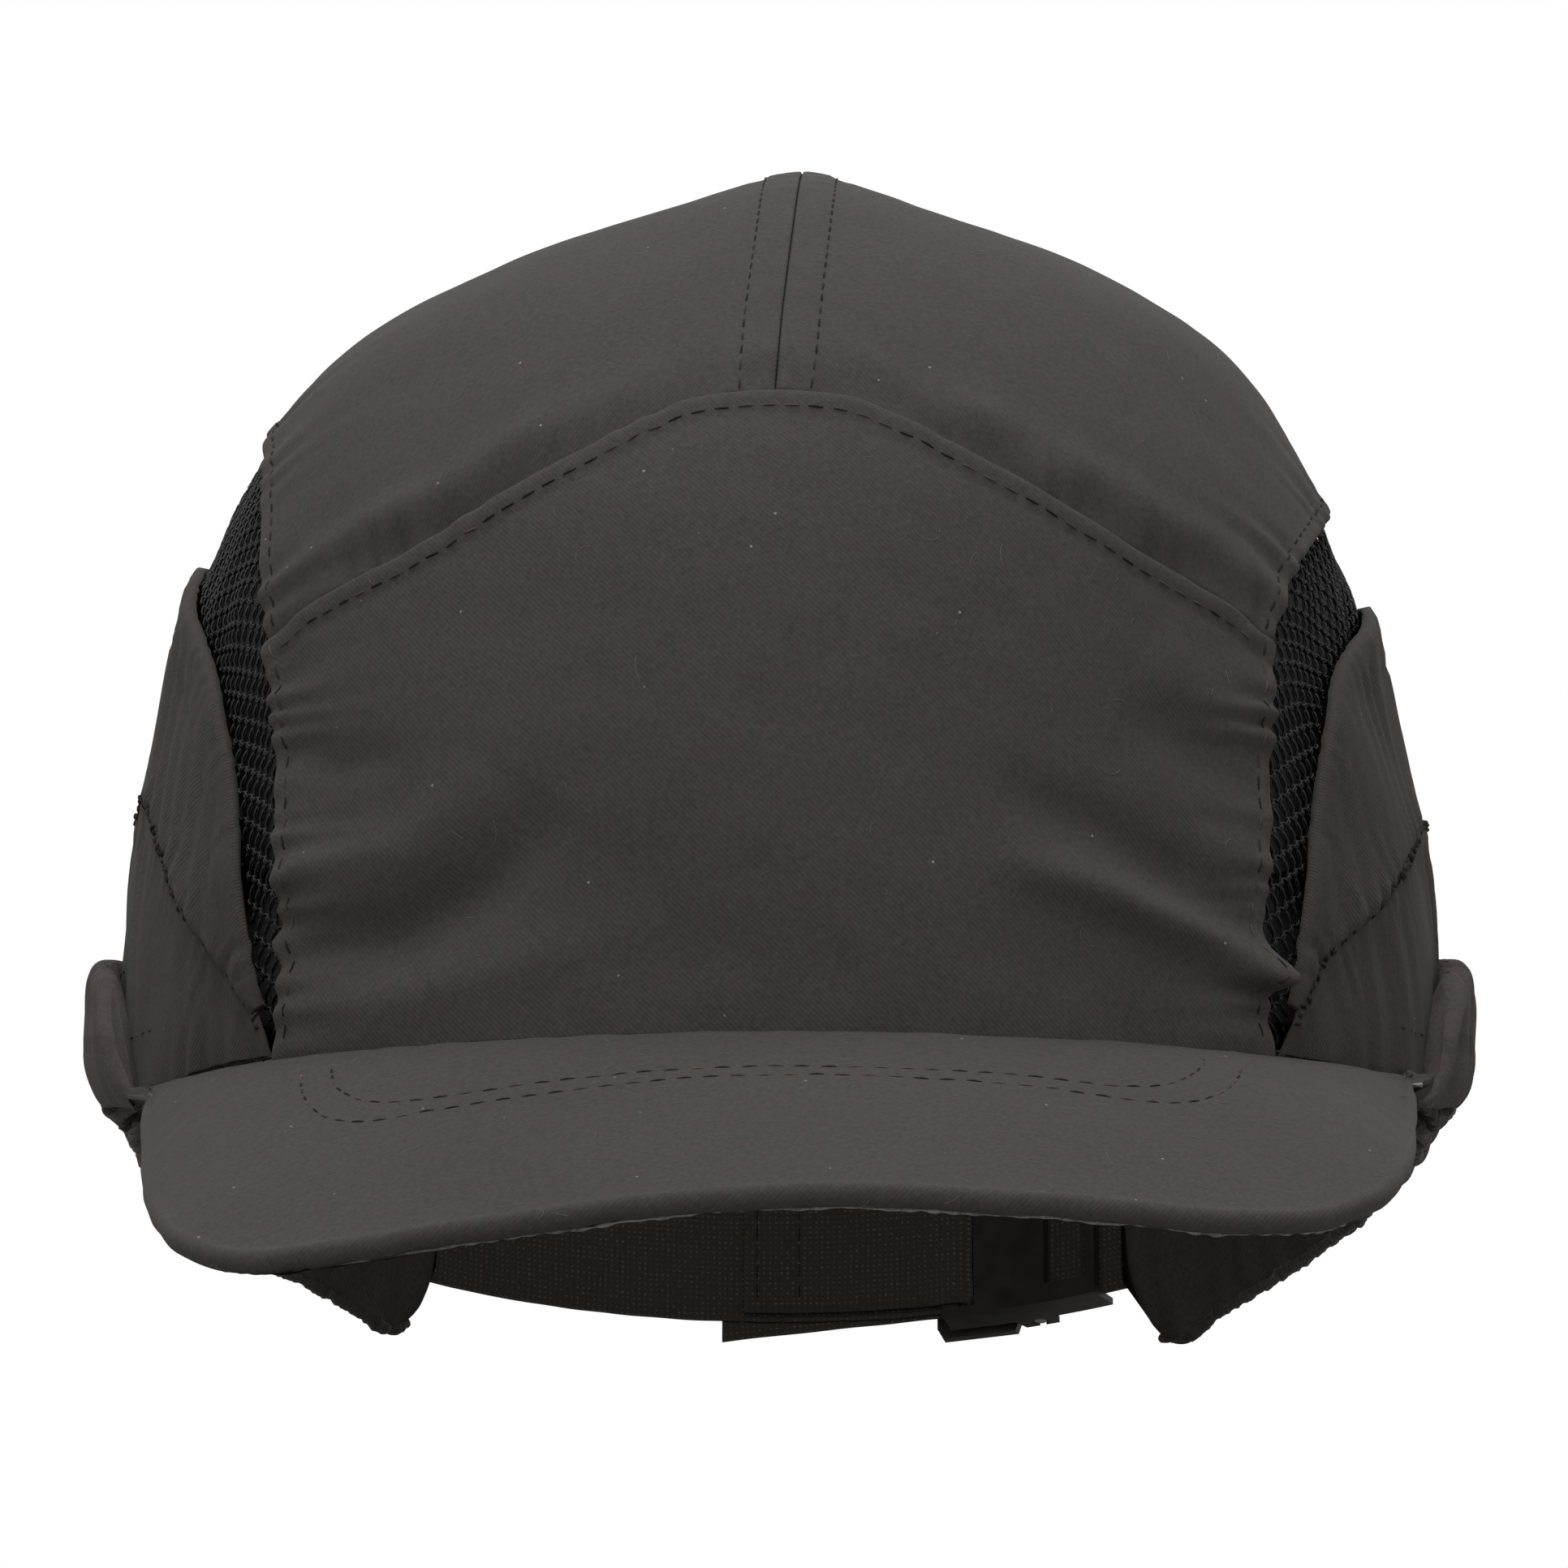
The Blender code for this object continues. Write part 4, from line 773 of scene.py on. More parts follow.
def makeCrownPanel(side, name):
    outer = seam(meshTop[side], side)
    ahead, behind = seam(archSeam[side], side), seam(archTop, side)[::-1]
    ridgeLine = np.vstack([ahead[0], behind[0]])
    outer[0], outer[-1] = ahead[-1], behind[-1]
    places = patch(ridgeLine, outer, ahead, behind, crownCut["cell"])
    base, normals = crownAt(places), normalAt(places)
    centre, rim, arch = away(base, "low"), away(base, "high"), away(base, "left")
    rear = away(base, "right")
    relief = roll(rim) + roll(arch, 0.9) + roll(rear) + roll(centre, 0.4)
    # the seam allowances lie under a strip on each side of the centre seam
    stitch = crownCut["centreStitch"]
    relief += 0.4 * (1.0 - smooth(stitch - 0.8, stitch + 0.9, centre))
    relief += stitchValley(centre, stitch, 0.3, 0.8)
    relief += 0.35 * (1.0 - smooth(2.6, 4.4, rim)) + stitchValley(rim, crownCut["sideStitch"], 0.3, 0.8)
    # the panel tucks in where the stiffer front panel is sewn over it
    across = np.abs(base[..., 0])
    tuck = 0.55 + 0.75 * np.exp(-((across - 38.0) / 17.0) ** 2) + 0.35 * drift(base, 13.0, 41 + side)
    relief -= np.maximum(tuck, 0.0) * np.exp(-((arch - 0.5) / 3.4) ** 2)
    relief += 0.7 * tuck * np.exp(-((arch - 7.5) / 3.6) ** 2)
    relief += pucker(arch, rim, 7.5, 0.42, 9.0, 43 + side, 2.5)
    relief += pucker(centre, arch, 7.0, 0.5, 8.0, 47 + side, 1.0)
    relief += pucker(arch, centre, 9.0, 0.10, 6.0, 51)
    relief += 0.22 * drift(base, 42.0, 53) + 0.05 * drift(base, 10.0, 54)
    points = settle(base + normals * relief[..., None])
    panel = wear(cloth(f"crown_panel_{name}_cloth", points, cap["cloth"], twill, -side))
    sheetOf(["crown_panel_" + name])
    rows = [rowAt(points, "low", crownCut["centreStitch"], (1.0, 2.0)),
            rowAt(points, "high", crownCut["sideStitch"], (1.5, 2.0))]
    sewn = stitches(f"crown_panel_{name}_topstitch", [outwards(*row) for row in rows],
                    darkThread, seed=33 + side)
    wear(sewn)
    print("crown panel", name, "sewn")


knit = dict(wale=1.7, course=2.0, yarn=0.36, inset=1.5)


def meshPatch(side):
    outer = np.vstack([seam(meshFront[side], side), seam(meshTop[side], side)[1:]])
    inner = np.vstack([seam(meshFoot[side], side), seam(meshRear[side], side)[1:]])
    rear = seam(archMiddle, side)[::-1]
    outer[-1], inner[-1] = rear[0], rear[-1]
    return outer, inner


def makeMeshPanel(side, name):
    # a warp knit: looped wales swing to the left and right and join in turn, which
    # leaves a six-sided hole between each pair of joins
    outer, inner = meshPatch(side)
    length = runOf(crownAt(outer))[-1]
    shares = np.linspace(0.0, 1.0, int(length / (knit["course"] / 7.0)) + 1)
    outerPlaces, innerPlaces = along(outer, shares), along(inner, shares)
    phase = 2.0 * math.pi * shares * length / knit["course"]
    span = np.linalg.norm(crownAt(innerPlaces) - crownAt(outerPlaces), axis=-1)
    paths = []
    for k in range(int(span.max() / knit["wale"]) + 2):
        swing = np.cos(phase / 2.0 + math.pi * k)
        swing = np.sign(swing) * np.abs(swing) ** 0.45
        for strand in (0, 1):
            twist = 0.42 * knit["yarn"] * np.sin(phase + math.pi * strand)
            across = k * knit["wale"] + swing * knit["wale"] * 0.42 + twist
            loose = (across > -0.4) & (across < span + 0.7)
            share = (across / np.maximum(span, 0.5))[:, None]
            places = outerPlaces * (1.0 - share) + innerPlaces * share
            base, ways = crownAt(places), normalAt(places)
            over = 0.2 * np.cos(phase + math.pi * strand)
            deep = knit["inset"] + 0.25 * drift(base, 14.0, 61) - over
            points = settle(base - ways * deep[:, None])
            # the wale is cut where the panel ends
            cuts = np.flatnonzero(np.diff(np.concatenate([[0], loose.astype(int), [0]])))
            for start, end in zip(cuts[::2], cuts[1::2]):
                if end - start > 6:
                    paths.append((points[start:end], ways[start:end]))
    panel = ropes(f"mesh_panel_{name}_knit", paths, knit["yarn"] / 2.0, meshYarn, sides=5)
    wear(panel)
    share = np.linspace(0.0, 1.0, 9)[None, :, None]
    sheetOf(["mesh_panel_" + name])
    print("mesh panel", name, "knitted", round(span.max(), 1), "x", round(length), "mm")


sideCut = dict(cell=0.9, stitch=7.5, creasePitch=6.5, radius=95.0)


def creases(base, seed, pitch, height):
    # upright creases from the press, sharper on one flank than on the other
    turn = np.arctan2(base[..., 0], -base[..., 1]) * sideCut["radius"]
    slant = turn + 0.12 * (base[..., 2] - 60.0)
    wobble = 1.3 * drift(np.stack([slant * 0.45, base[..., 2] * 0.14], -1), 14.0, seed)
    wave = np.sin(2.0 * math.pi * slant / pitch + 2.0 * wobble)
    spread = drift(np.stack([slant, base[..., 2] * 0.4], -1), 30.0, seed + 1)
    strength = np.clip(0.55 + 0.6 * spread, 0, 1.4)
    return height * strength * (np.sign(wave) * np.abs(wave) ** 1.5)


def makeSidePanel(side, name):
    low, high = seam(bandTop[side], side)[24:], seam(meshRear[side], side)
    high[0] = 0.97 * high[0] + 0.03 * high[24]
    ahead = np.vstack([low[0], high[0]])
    rear = np.vstack([low[-1], seam(archLow, side)[6:]])
    high[-1] = rear[-1]
    places = patch(low, high, ahead, rear, sideCut["cell"])
    base, normals = crownAt(places), normalAt(places)
    top, bottom = away(base, "high"), away(base, "low")
    relief = roll(top) + roll(bottom, 0.6) + roll(away(base, "right"))
    relief += 0.3 * (1.0 - smooth(2.0, 3.8, top)) + stitchValley(top, sideCut["stitch"], 0.3, 0.8)
    relief += creases(base, 71 + side, sideCut["creasePitch"], 0.34) * smooth(1.0, 6.0, top)
    relief += pucker(away(base, "left"), top, 5.0, 0.16, 6.0, 73)
    relief += pucker(away(base, "left"), bottom, 4.5, 0.2, 5.0, 74)
    relief += 0.3 * drift(base, 30.0, 75) - 0.3
    points = settle(base + normals * relief[..., None])
    panel = wear(cloth(f"side_panel_{name}_cloth", points, cap["cloth"], sideShadeTwill, -side))
    sheetOf(["side_panel_" + name])
    sewn = stitches(f"side_panel_{name}_topstitch",
                    [outwards(*rowAt(points, "high", sideCut["stitch"], (2.0, 2.0)))],
                    darkThread, seed=35 + side)
    wear(sewn)
    print("side panel", name, "sewn")


# the two short rows of stitches each have a height and a start
bandCut = dict(cell=0.7, zigzag=0.9, zigzagPitch=3.6, rows=((9.0, 16.0), (20.0, 12.0)), rowEnd=13.0)


def bandFoot(side):
    # the hem in front of the ear, then down behind the sleeve of the strap
    ahead = hemSeam(meshFoot[side][0][0], 92.0, 50)
    degrees = np.linspace(92.0, 143.5, 30)
    height = np.interp(degrees, (92.0, 100.0, 120.0, 143.5), (29.0, 31.0, 30.5, 27.0))
    azimuth = np.radians(degrees)
    rear = disc(azimuth, tAtHeight(azimuth, height))
    return np.vstack([ahead, rear[1:]]) * np.array([side, 1.0])


def makeEarBand(side, name):
    top, low = seam(bandTop[side], side), bandFoot(side)
    low[0] = 0.9 * low[0] + 0.1 * low[1]
    ahead, rear = np.vstack([low[0], top[0]]), np.vstack([low[-1], top[-1]])
    places = patch(low, top, ahead, rear, bandCut["cell"])
    base, normals = crownAt(places), normalAt(places)
    high, bottom, run = away(base, "high"), away(base, "low"), away(base, "left")
    relief = roll(high, 0.6) + 0.35 * (1.0 - smooth(2.0, 4.0, high))
    relief += creases(base, 81 + side, 7.5, 0.42) * smooth(0.5, 7.0, high)
    calm = smooth(1.0, 9.0, run)
    relief += calm * (pucker(run, high, 4.4, 0.22, 5.0, 83) + pucker(run, bottom, 8.0, 0.3, 7.0, 84))
    relief += 0.35 * drift(base, 26.0, 85 + side)
    # the sleeve of the strap pulls the band in at the ear
    turn = np.degrees(np.arctan2(np.abs(base[..., 0]), -base[..., 1]))
    relief -= 1.7 * smooth(62.0, 78.0, turn) * (1.0 - smooth(44.0, 66.0, base[..., 2]))
    points = base + normals * relief[..., None]
    # the foot laps over the back edge of the peak
    points[..., 2] -= 1.7 * np.exp(-(bottom / 4.0) ** 2) * smooth(50.0, 62.0, turn)
    # the zigzag stitch draws the band's edge into small scallops
    high = high + 6.0 * (1.0 - smooth(2.0, 9.0, run))
    wave = bandCut["zigzag"] * np.sin(2.0 * math.pi * run / bandCut["zigzagPitch"])
    points[..., 2] += (0.5 * wave + 0.4) * np.exp(-(high / 2.2) ** 2)
    points = settle(points)
    panel = wear(cloth(f"ear_band_{name}_cloth", points, cap["cloth"], sideShadeTwill, side))
    sheetOf(["ear_band_" + name])
    line, ways = outwards(*rowAt(points, "high", 1.0, (2.0, 4.0)))
    sewing = stitches(f"ear_band_{name}_zigzag", [(line + ways * 0.12 * mm, ways)], darkThread,
                      length=1.15, gap=0.3, thread=0.6, seed=36 + side, wiggle=0.5)
    wear(sewing)
    sewn = []
    for distance, start in bandCut["rows"]:
        row, rowWays = outwards(*rowAt(points, "low", distance, (start, 0.0)))
        length = runOf(row) / mm
        kept = length < bandCut["rowEnd"]
        sewn.append((row[kept], rowWays[kept]))
    rows = stitches(f"ear_band_{name}_stitching", sewn, greyThread, length=1.9, gap=1.1, seed=37 + side)
    wear(rows)
    print("ear band", name, "sewn")


peakCut = dict(columns=250, rows=64, bulge=1.6, arch=7.0, tipDrop=3.9, rim=1.35, inset=0.95, lift=5.2,
               board=2.0, cover=0.7)
# how much of the lift the edge has across the peak and along it
liftAcross = ((-10, 0, 10, 35.6, 55.7, 66, 73), (0, 0.02, 0.12, 0.5, 0.72, 0.93, 1.0))
liftAlong = ((-132, -115, -95, -72, -43), (1.04, 0.98, 0.6, 0.41, 0.42))


def peakRoot(share):
    azimuth = math.radians(cap["cornerAngle"]) * share
    places = disc(azimuth, tAtHeight(azimuth, hemHeight(azimuth) - 0.4))
    root = crownAt(places) + 0.6 * normalAt(places)
    root[..., 2] += 1.4 * np.clip(share, 0.0, 1.0) ** 4
    return root


def peakEdge():
    corner = peakRoot(np.array([-1.0]))[0] * np.array([-1.0, 1.0, 1.0])
    reach, tip = cap["frontReach"] + cap["peakLength"], peakCut["tipDrop"]
    half = [(corner[0] * x, corner[1] - (reach + corner[1]) * y, tip + (corner[2] - tip) * z)
            for x, y, z in ((0.995, 0.030, 0.985), (0.978, 0.24, 0.755), (0.958, 0.455, 0.50),
                            (0.932, 0.63, 0.275), (0.876, 0.778, 0.085), (0.785, 0.866, -0.005))]
    half += [(0.66 * corner[0], -reach + 8.5, tip + 0.08 * peakCut["arch"]),
             (0.42 * corner[0], -reach + 2.5, tip + 0.47 * peakCut["arch"])]
    centre = [(0.0, -reach, tip + peakCut["arch"])]
    edge = curveThrough([(-x, y, z) for x, y, z in half] + centre + half[::-1], 60)
    share = np.interp(edge[:, 0], *liftAcross) * np.interp(edge[:, 1], *liftAlong)
    edge[:, 2] += peakCut["lift"] * share
    return edge


edgeLine = peakEdge()
peakStitchPlans = [
    [(-61.5, -88), (-60.5, -101), (-57, -111.5), (-50, -117.5), (-25, -123.2), (0, -125),
     (25, -123.5), (48, -118.5), (55, -112), (58.6, -101), (59.3, -91)],
    [(-57.5, -92), (-56.2, -102), (-52.8, -109), (-46.5, -114.2), (-22, -120), (0, -121.8),
     (22, -120.2), (43, -115.4), (50, -109.6), (53.8, -100), (54.6, -93.5)]]


def peakSurface(inset=0.0, spreadTo=1.0):
    # rows from the hem to the front edge, on the top of the peak
    share = spreadTo * np.linspace(-1.0, 1.0, peakCut["columns"] + 1)
    root, edge = peakRoot(share), along(edgeLine, (share + 1.0) / 2.0)
    out = np.gradient(edge, axis=0)
    out = np.stack([out[:, 1], -out[:, 0], 0.0 * out[:, 0]], -1)
    out /= np.linalg.norm(out, axis=-1, keepdims=True)
    span = np.linalg.norm(edge - root, axis=-1)
    short = np.minimum(inset, 0.4 * span)[:, None]
    edge = edge - out * short
    v = np.linspace(0.0, 1.0, peakCut["rows"] + 1)[:, None, None]
    points = root * (1.0 - v) + edge * v
    points[..., 2] += peakCut["bulge"] * np.sin(math.pi * v[..., 0]) * np.minimum(1.0, span / 30.0)
    return points, out


def upNormals(points):
    normals = gridNormals(points)
    return normals * np.sign(normals[..., 2:3])


def belowSurface(points, depth):
    return points - upNormals(points) * depth


def makePeak():
    rim = peakCut["rim"]
    points, out = peakSurface(peakCut["inset"])
    relief = 0.10 * drift(points, 30.0, 91) + 0.04 * drift(points, 8.0, 92)
    relief -= 0.25 * np.exp(-(away(points, "low") / 1.2) ** 2)
    points = points + upNormals(points) * relief[..., None]
    # the cloth rolls over the edge and runs a little way back under it
    turn = np.radians(np.linspace(12.0, 200.0, 13))[:, None, None]
    last = points[-1][None]
    down = np.array([0.0, 0.0, -1.0])
    slim = np.minimum(1.0, np.linalg.norm(points[-1] - points[0], axis=-1) / 8.0)[None, :, None]
    fuzz = 1.0 + 0.03 * drift(np.broadcast_to(last, (13, *last.shape[1:])), 6.0, 93)[..., None]
    bend = out[None] * np.sin(turn) * rim + down * (1.0 - np.cos(turn)) * rim * 1.15
    lip = last + bend * slim * fuzz
    under = lip[-1][None] - out[None] * np.linspace(1.0, 3.0, 3)[:, None, None] * slim
    full = settle(np.concatenate([points, lip, under]))
    cover = wear(cloth("peak_top_cloth", full, 0.5, twill, -1.0))
    sheetOf(["peak_top_cover"])

    plain = peakSurface(1.4, 0.965)[0]
    boardTop = settle(belowSurface(plain, peakCut["cover"] + 0.15))
    board = wear(cloth("peak_board_sheet", boardTop[::3, ::3], 1.8, boardSheet, -1.0))
    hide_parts("peak_board")

    plain, out = peakSurface(1.1, 0.985)
    depth = peakCut["cover"] + peakCut["board"] + 0.75
    lower = belowSurface(plain, depth)
    lower[..., 2] += 0.12 * drift(plain, 9.0, 94)
    lower = settle(lower)
    under = wear(cloth("peak_under_cloth", lower[::2, ::2], 0.5, twill, -1.0))
    sheetOf(["peak_under_cover"])
    # the raw edge of the under cover shows as a pale frayed line below the roll
    brink = lower[-1]
    fray = drift(np.arange(len(brink))[:, None] * 0.8, 4.0, 95) * 0.12
    line = brink + np.stack([out[:, 0], out[:, 1], 0 * out[:, 0]], -1) * (0.35 + fray)[:, None] * mm
    fine = along(line, np.linspace(0.02, 0.98, 900))
    thick = 0.26 + 0.09 * drift(np.arange(900)[:, None] * 0.3, 2.6, 96)
    ways = np.tile([0.0, 0.0, 1.0], (900, 1))
    edge = ropes("peak_under_raw_edge", [(fine, ways)], np.maximum(thick, 0.1), rawEdge, sides=6)
    wear(edge)

    # the rows of stitches are drawn in plan and dropped on to the top face
    top = peakCut["rows"] + 2
    tree = BVHTree.FromPolygons([Vector(p) for p in full[:top].reshape(-1, 3)],
                                gridFaces(top, full.shape[1]))
    rows = []
    for plan in peakStitchPlans:
        line, ways = [], []
        for x, y in along(curveThrough(plan), np.linspace(0.0, 1.0, 260)):
            hit = tree.ray_cast(Vector((x * mm, y * mm + earPlane, 0.1)), Vector((0, 0, -1)))
            if hit[0] is not None:
                line.append(hit[0])
                ways.append(hit[1] if hit[1].z > 0 else -hit[1])
        rows.append((np.array(line), np.array(ways)))
    sewn = stitches("peak_stitching", rows, greyThread, length=2.6, gap=0.7, seed=39)
    wear(sewn)
    print("peak covered")


band = dict(tilt=20.0, centre=(0.0, 8.0, 47.5), strapWidth=25.0, thickness=1.2, leftRadius=91.9,
            clearance=0.5, casingEnd=33.0, channelEnd=67.0, wall=1.9, frontHeight=22.0, rise=16.5,
            tailEnd=-5.1, tailSag=2.6, hiddenEnd=60.0, buckleStart=15.3, loopBend=1.7,
            loopReturn=31.5, bar=2.5)
tilt = math.radians(band["tilt"])
rightRadius = band["leftRadius"] + band["thickness"] + band["clearance"]


def bandPoint(radius, degrees, up=0.0):
    beta = np.radians(degrees)
    x, y = radius * np.sin(beta), radius * np.cos(beta)
    up = up + 0.0 * x
    return np.stack([x + band["centre"][0],
                     y * math.cos(tilt) + up * math.sin(tilt) + band["centre"][1],
                     up * math.cos(tilt) - y * math.sin(tilt) + band["centre"][2]], -1)


bandUp = np.array([0.0, math.sin(tilt), math.cos(tilt)])


def casingStations():
    # centre, lean, fall and rise of the sleeve, from its rear corner to the ear
    channelInner = band["leftRadius"] - band["thickness"] / 2.0 - band["clearance"]
    channelOuter = rightRadius + band["thickness"] / 2.0 + band["clearance"]
    middle = (channelInner + channelOuter) / 2.0
    deepest = bandPoint(middle, band["casingEnd"])[2] / math.cos(tilt)
    least = band["strapWidth"] / 2.0 + band["clearance"] + band["wall"]
    rows = []
    for degrees, share in ((band["casingEnd"], 1.0), (band["casingEnd"] + 4.0, 1.0), (43.0, 0.93),
                           (51.0, 0.83), (59.0, 0.76), (band["channelEnd"] + 1.0, 0.7)):
        centre = bandPoint(middle, degrees)
        fall = centre[2] / math.cos(tilt) if share == 1.0 else max(deepest * share, least)
        rows.append((*centre, band["tilt"], fall, max(band["rise"], least)))
    last, half = np.array(rows[-1]), band["frontHeight"] / 2.0
    ear = np.array([cap["halfWidth"] - 0.8, -2.0, cap["earHem"] + half - 0.4])
    for step, lean in ((0.55, band["tilt"] * 0.4), (1.0, 0.0)):
        centre = last[:3] + (ear - last[:3]) * step
        centre[0] += (1.0 - step) * 3.4
        fall = last[4] + (half - last[4]) * step - (1.0 - step) * 8.0 - step * 1.6
        rows.append((*centre, lean, fall, last[5] + (half - last[5]) * step))
    # the end of the sleeve runs on past the ear, to the corner of the peak
    rows.append((91.0, -15.0, rows[-1][2] - 0.3, 0.0, half - 1.4, half - 0.8))
    rows.append((88.9, -26.0, rows[-1][2] - 0.5, 0.0, half - 1.2, half - 2.6))
    rows.append((87.2, -33.0, rows[-1][2] - 0.8, 0.0, half - 2.0, half - 4.0))
    return np.array(rows)


casingCut = dict(rings=150, around=72, half=3.85, channelHalf=1.75, channelHeight=13.0,
                 mouthSlant={-1: 2.2, 1: 4.2}, gather={-1: 0.32, 1: 0.55})


def softSection(count, half, fall, rise, power=4.0, corner=7.0):
    angle = np.linspace(0.0, 2.0 * math.pi, count, endpoint=False)
    c, s = np.cos(angle), np.sin(angle)
    a = half * np.sign(c) * np.abs(c) ** (2.0 / power)
    reach = np.where(s > 0.0, rise, fall)
    return np.stack([a, reach * np.sign(s) * np.abs(s) ** (2.0 / corner)], -1)


def makeCasing(side, name):
    # a gathered sleeve: its outer skin, rolled in at the rear mouth to line the channel
    stations = curveThrough(casingStations(), 30)
    shares = np.linspace(0.0, 1.0, casingCut["rings"])
    line = along(stations, shares)
    run = runOf(line[:, :3])
    forward = np.gradient(line[:, :3], axis=0)
    lean = np.radians(line[:, 3])
    up = np.stack([0.0 * lean, np.sin(lean), np.cos(lean)], -1)
    out = np.cross(forward, up)
    out /= np.linalg.norm(out, axis=-1, keepdims=True)
    out *= np.sign(out[:, :1])
    rings = []
    for i in range(len(line)):
        end = min(1.0, (run[-1] - run[i]) / 4.0)
        mouth = min(1.0, run[i] / 2.5 + 0.55)
        slim = math.sqrt(max(1.0 - (1.0 - end) ** 2, 0.0)) * 0.55 + 0.45
        soft = smooth(run[-1] - 60.0, run[-1] - 30.0, run[i])
        section = softSection(casingCut["around"], casingCut["half"] * (0.25 + 0.75 * slim) * mouth,
                              line[i, 4] - 1.2 * (1.0 - slim), line[i, 5] - 1.2 * (1.0 - slim),
                              4.0 - 1.4 * soft, 7.0 - 3.6 * soft)
        # the foot is a folded edge, and beside the shell only the outer half has room
        depth = np.clip(-section[:, 1] / line[i, 4], 0.0, 1.0)
        section[:, 0] *= 1.0 - 0.45 * depth ** 3
        ahead = smooth(run[-1] - 34.0, run[-1] - 16.0, run[i])
        section[:, 0] *= np.where(section[:, 0] < 0.0, 1.0 - 0.7 * ahead, 1.0 - 0.2 * ahead)
        slant = smooth(run[-1] - 26.0, run[-1], run[i]) * np.where(section[:, 1] < 0.0, 7.0, 15.0)
        ring = line[i, :3] + out[i] * section[:, :1] + up[i] * section[:, 1:]
        way = forward[i] / np.linalg.norm(forward[i])
        ring = ring - way * (slant * section[:, 1] / line[i, 4])[:, None]
        # the rear mouth is cut on a slant, with a rounded lower corner
        behind = 1.0 - smooth(0.0, 15.0, run[i])
        ring = ring + way * (casingCut["mouthSlant"][side] * behind * depth ** 1.5)[:, None]
        ring = ring + up[i] * (2.6 * max(0.0, 1.0 - run[i] / 4.5) ** 2 * depth ** 4)[:, None]
        probe = np.stack([np.full(len(ring), run[i]), section[:, 1] * 0.35, section[:, 0]], -1)
        wobble = 2.0 * drift(probe, 20.0, 101 + side)
        folds = casingCut["gather"][side] * np.sin(2.0 * math.pi * run[i] / 7.0 + wobble)
        folds = folds * (0.4 + 0.6 * smooth(20.0, 70.0, run[i])) + 0.3 * drift(ring, 12.0, 103 + side)
        push = out[i] * np.sign(section[:, :1]) * folds[:, None] * 0.8
        edgeWave = up[i] * (np.sign(section[:, 1:]) * np.abs(folds[:, None]) * 0.35)
        rings.append(ring + push + edgeWave)
    rings = np.array(rings)
    # the mouth rolls in and the lining runs back along the channel
    tall = casingCut["channelHeight"]
    section = softSection(casingCut["around"], casingCut["channelHalf"], tall, tall, 6.0)
    inner = [line[i, :3] + out[i] * section[:, :1] + up[i] * section[:, 1:] for i in range(0, 62, 3)]
    whole = np.concatenate([np.array(inner)[::-1], rings])
    if side < 0:
        # this side's corner is pulled up a little towards the strap
        rear = 1.0 - smooth(-10.0, 95.0, 105.0 - whole[..., 1])
        whole[..., 2] += 4.4 * rear * np.clip(1.0 - whole[..., 2] / 24.0, 0.0, 1.0)
    whole[..., 2] = np.maximum(whole[..., 2], 0.15)
    whole[..., 0] *= side
    points = fromEars(whole)
    # the towelling inside the sleeve shows along its lower edge
    foot = points[len(inner) + 2:-26, np.argmin(softSection(casingCut["around"], 1, 1, 1)[:, 1])]
    foot = along(foot, np.linspace(0.0, 1.0, 420))
    lumps = 1.0 + 0.16 * drift(foot / mm, 2.4, 105) + 0.10 * drift(foot / mm, 0.9, 106)
    foot[:, 2] = np.maximum(foot[:, 2] - 0.1 * mm, 1.3 * mm)
    trim = ropes(f"rear_casing_{name}_towelling", [(foot, np.tile([0.0, 0.0, 1.0], (420, 1)))],
                 1.0 * lumps, edgeTowelling, sides=10)
    wear(trim)
    sleeve = wear(loft(f"rear_casing_{name}_sleeve", points, darkTwill))
    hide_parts("rear_casing_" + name)
    print("rear casing", name, "gathered")


selvedge = 0.7


def strapRings(centres, across, up, thickness, width):
    # a flat webbing with rounded selvedges
    half, tall = thickness / 2.0, width / 2.0
    flank = [(half, -tall + selvedge + 2.0 * (tall - selvedge) * k / 12.0) for k in range(13)]
    section = [(-half * 0.55, -tall), (half * 0.55, -tall), *flank]
    section = np.array(section + [(-x, -y) for x, y in section])
    return centres[:, None] + across[:, None] * section[None, :, :1] + up * section[None, :, 1:]


def makeStrap(name, centres, node, body):
    forward = np.gradient(centres, axis=0)
    across = np.cross(forward, bandUp)
    across /= np.linalg.norm(across, axis=-1, keepdims=True)
    rings = strapRings(centres, across, bandUp, band["thickness"], band["strapWidth"])
    wave = 0.10 * drift(rings, 7.0, 111)[..., None]
    rings = rings + across[:, None] * wave
    points = fromEars(rings)
    count = points.shape[1]
    # the weave lies square to the webbing, round its section and along its length
    thick, wide = band["thickness"], band["strapWidth"]
    flank = thick + np.linspace(selvedge, wide - selvedge, 13)
    girth = np.concatenate([[0.0, thick], flank, [wide, wide + thick], flank + wide])
    uv = np.stack(np.broadcast_arrays(girth[None] * mm, (runOf(centres) * mm)[:, None]), -1)
    faces = gridFaces(len(points), count, closed=True)
    faces += [list(range(count))[::-1], list(range((len(points) - 1) * count, len(points) * count))]
    strap = outsideOut(meshFrom(name, points.reshape(-1, 3), faces, elastic, uv.reshape(-1, 2)))
    wear(strap, body)
    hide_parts(node)


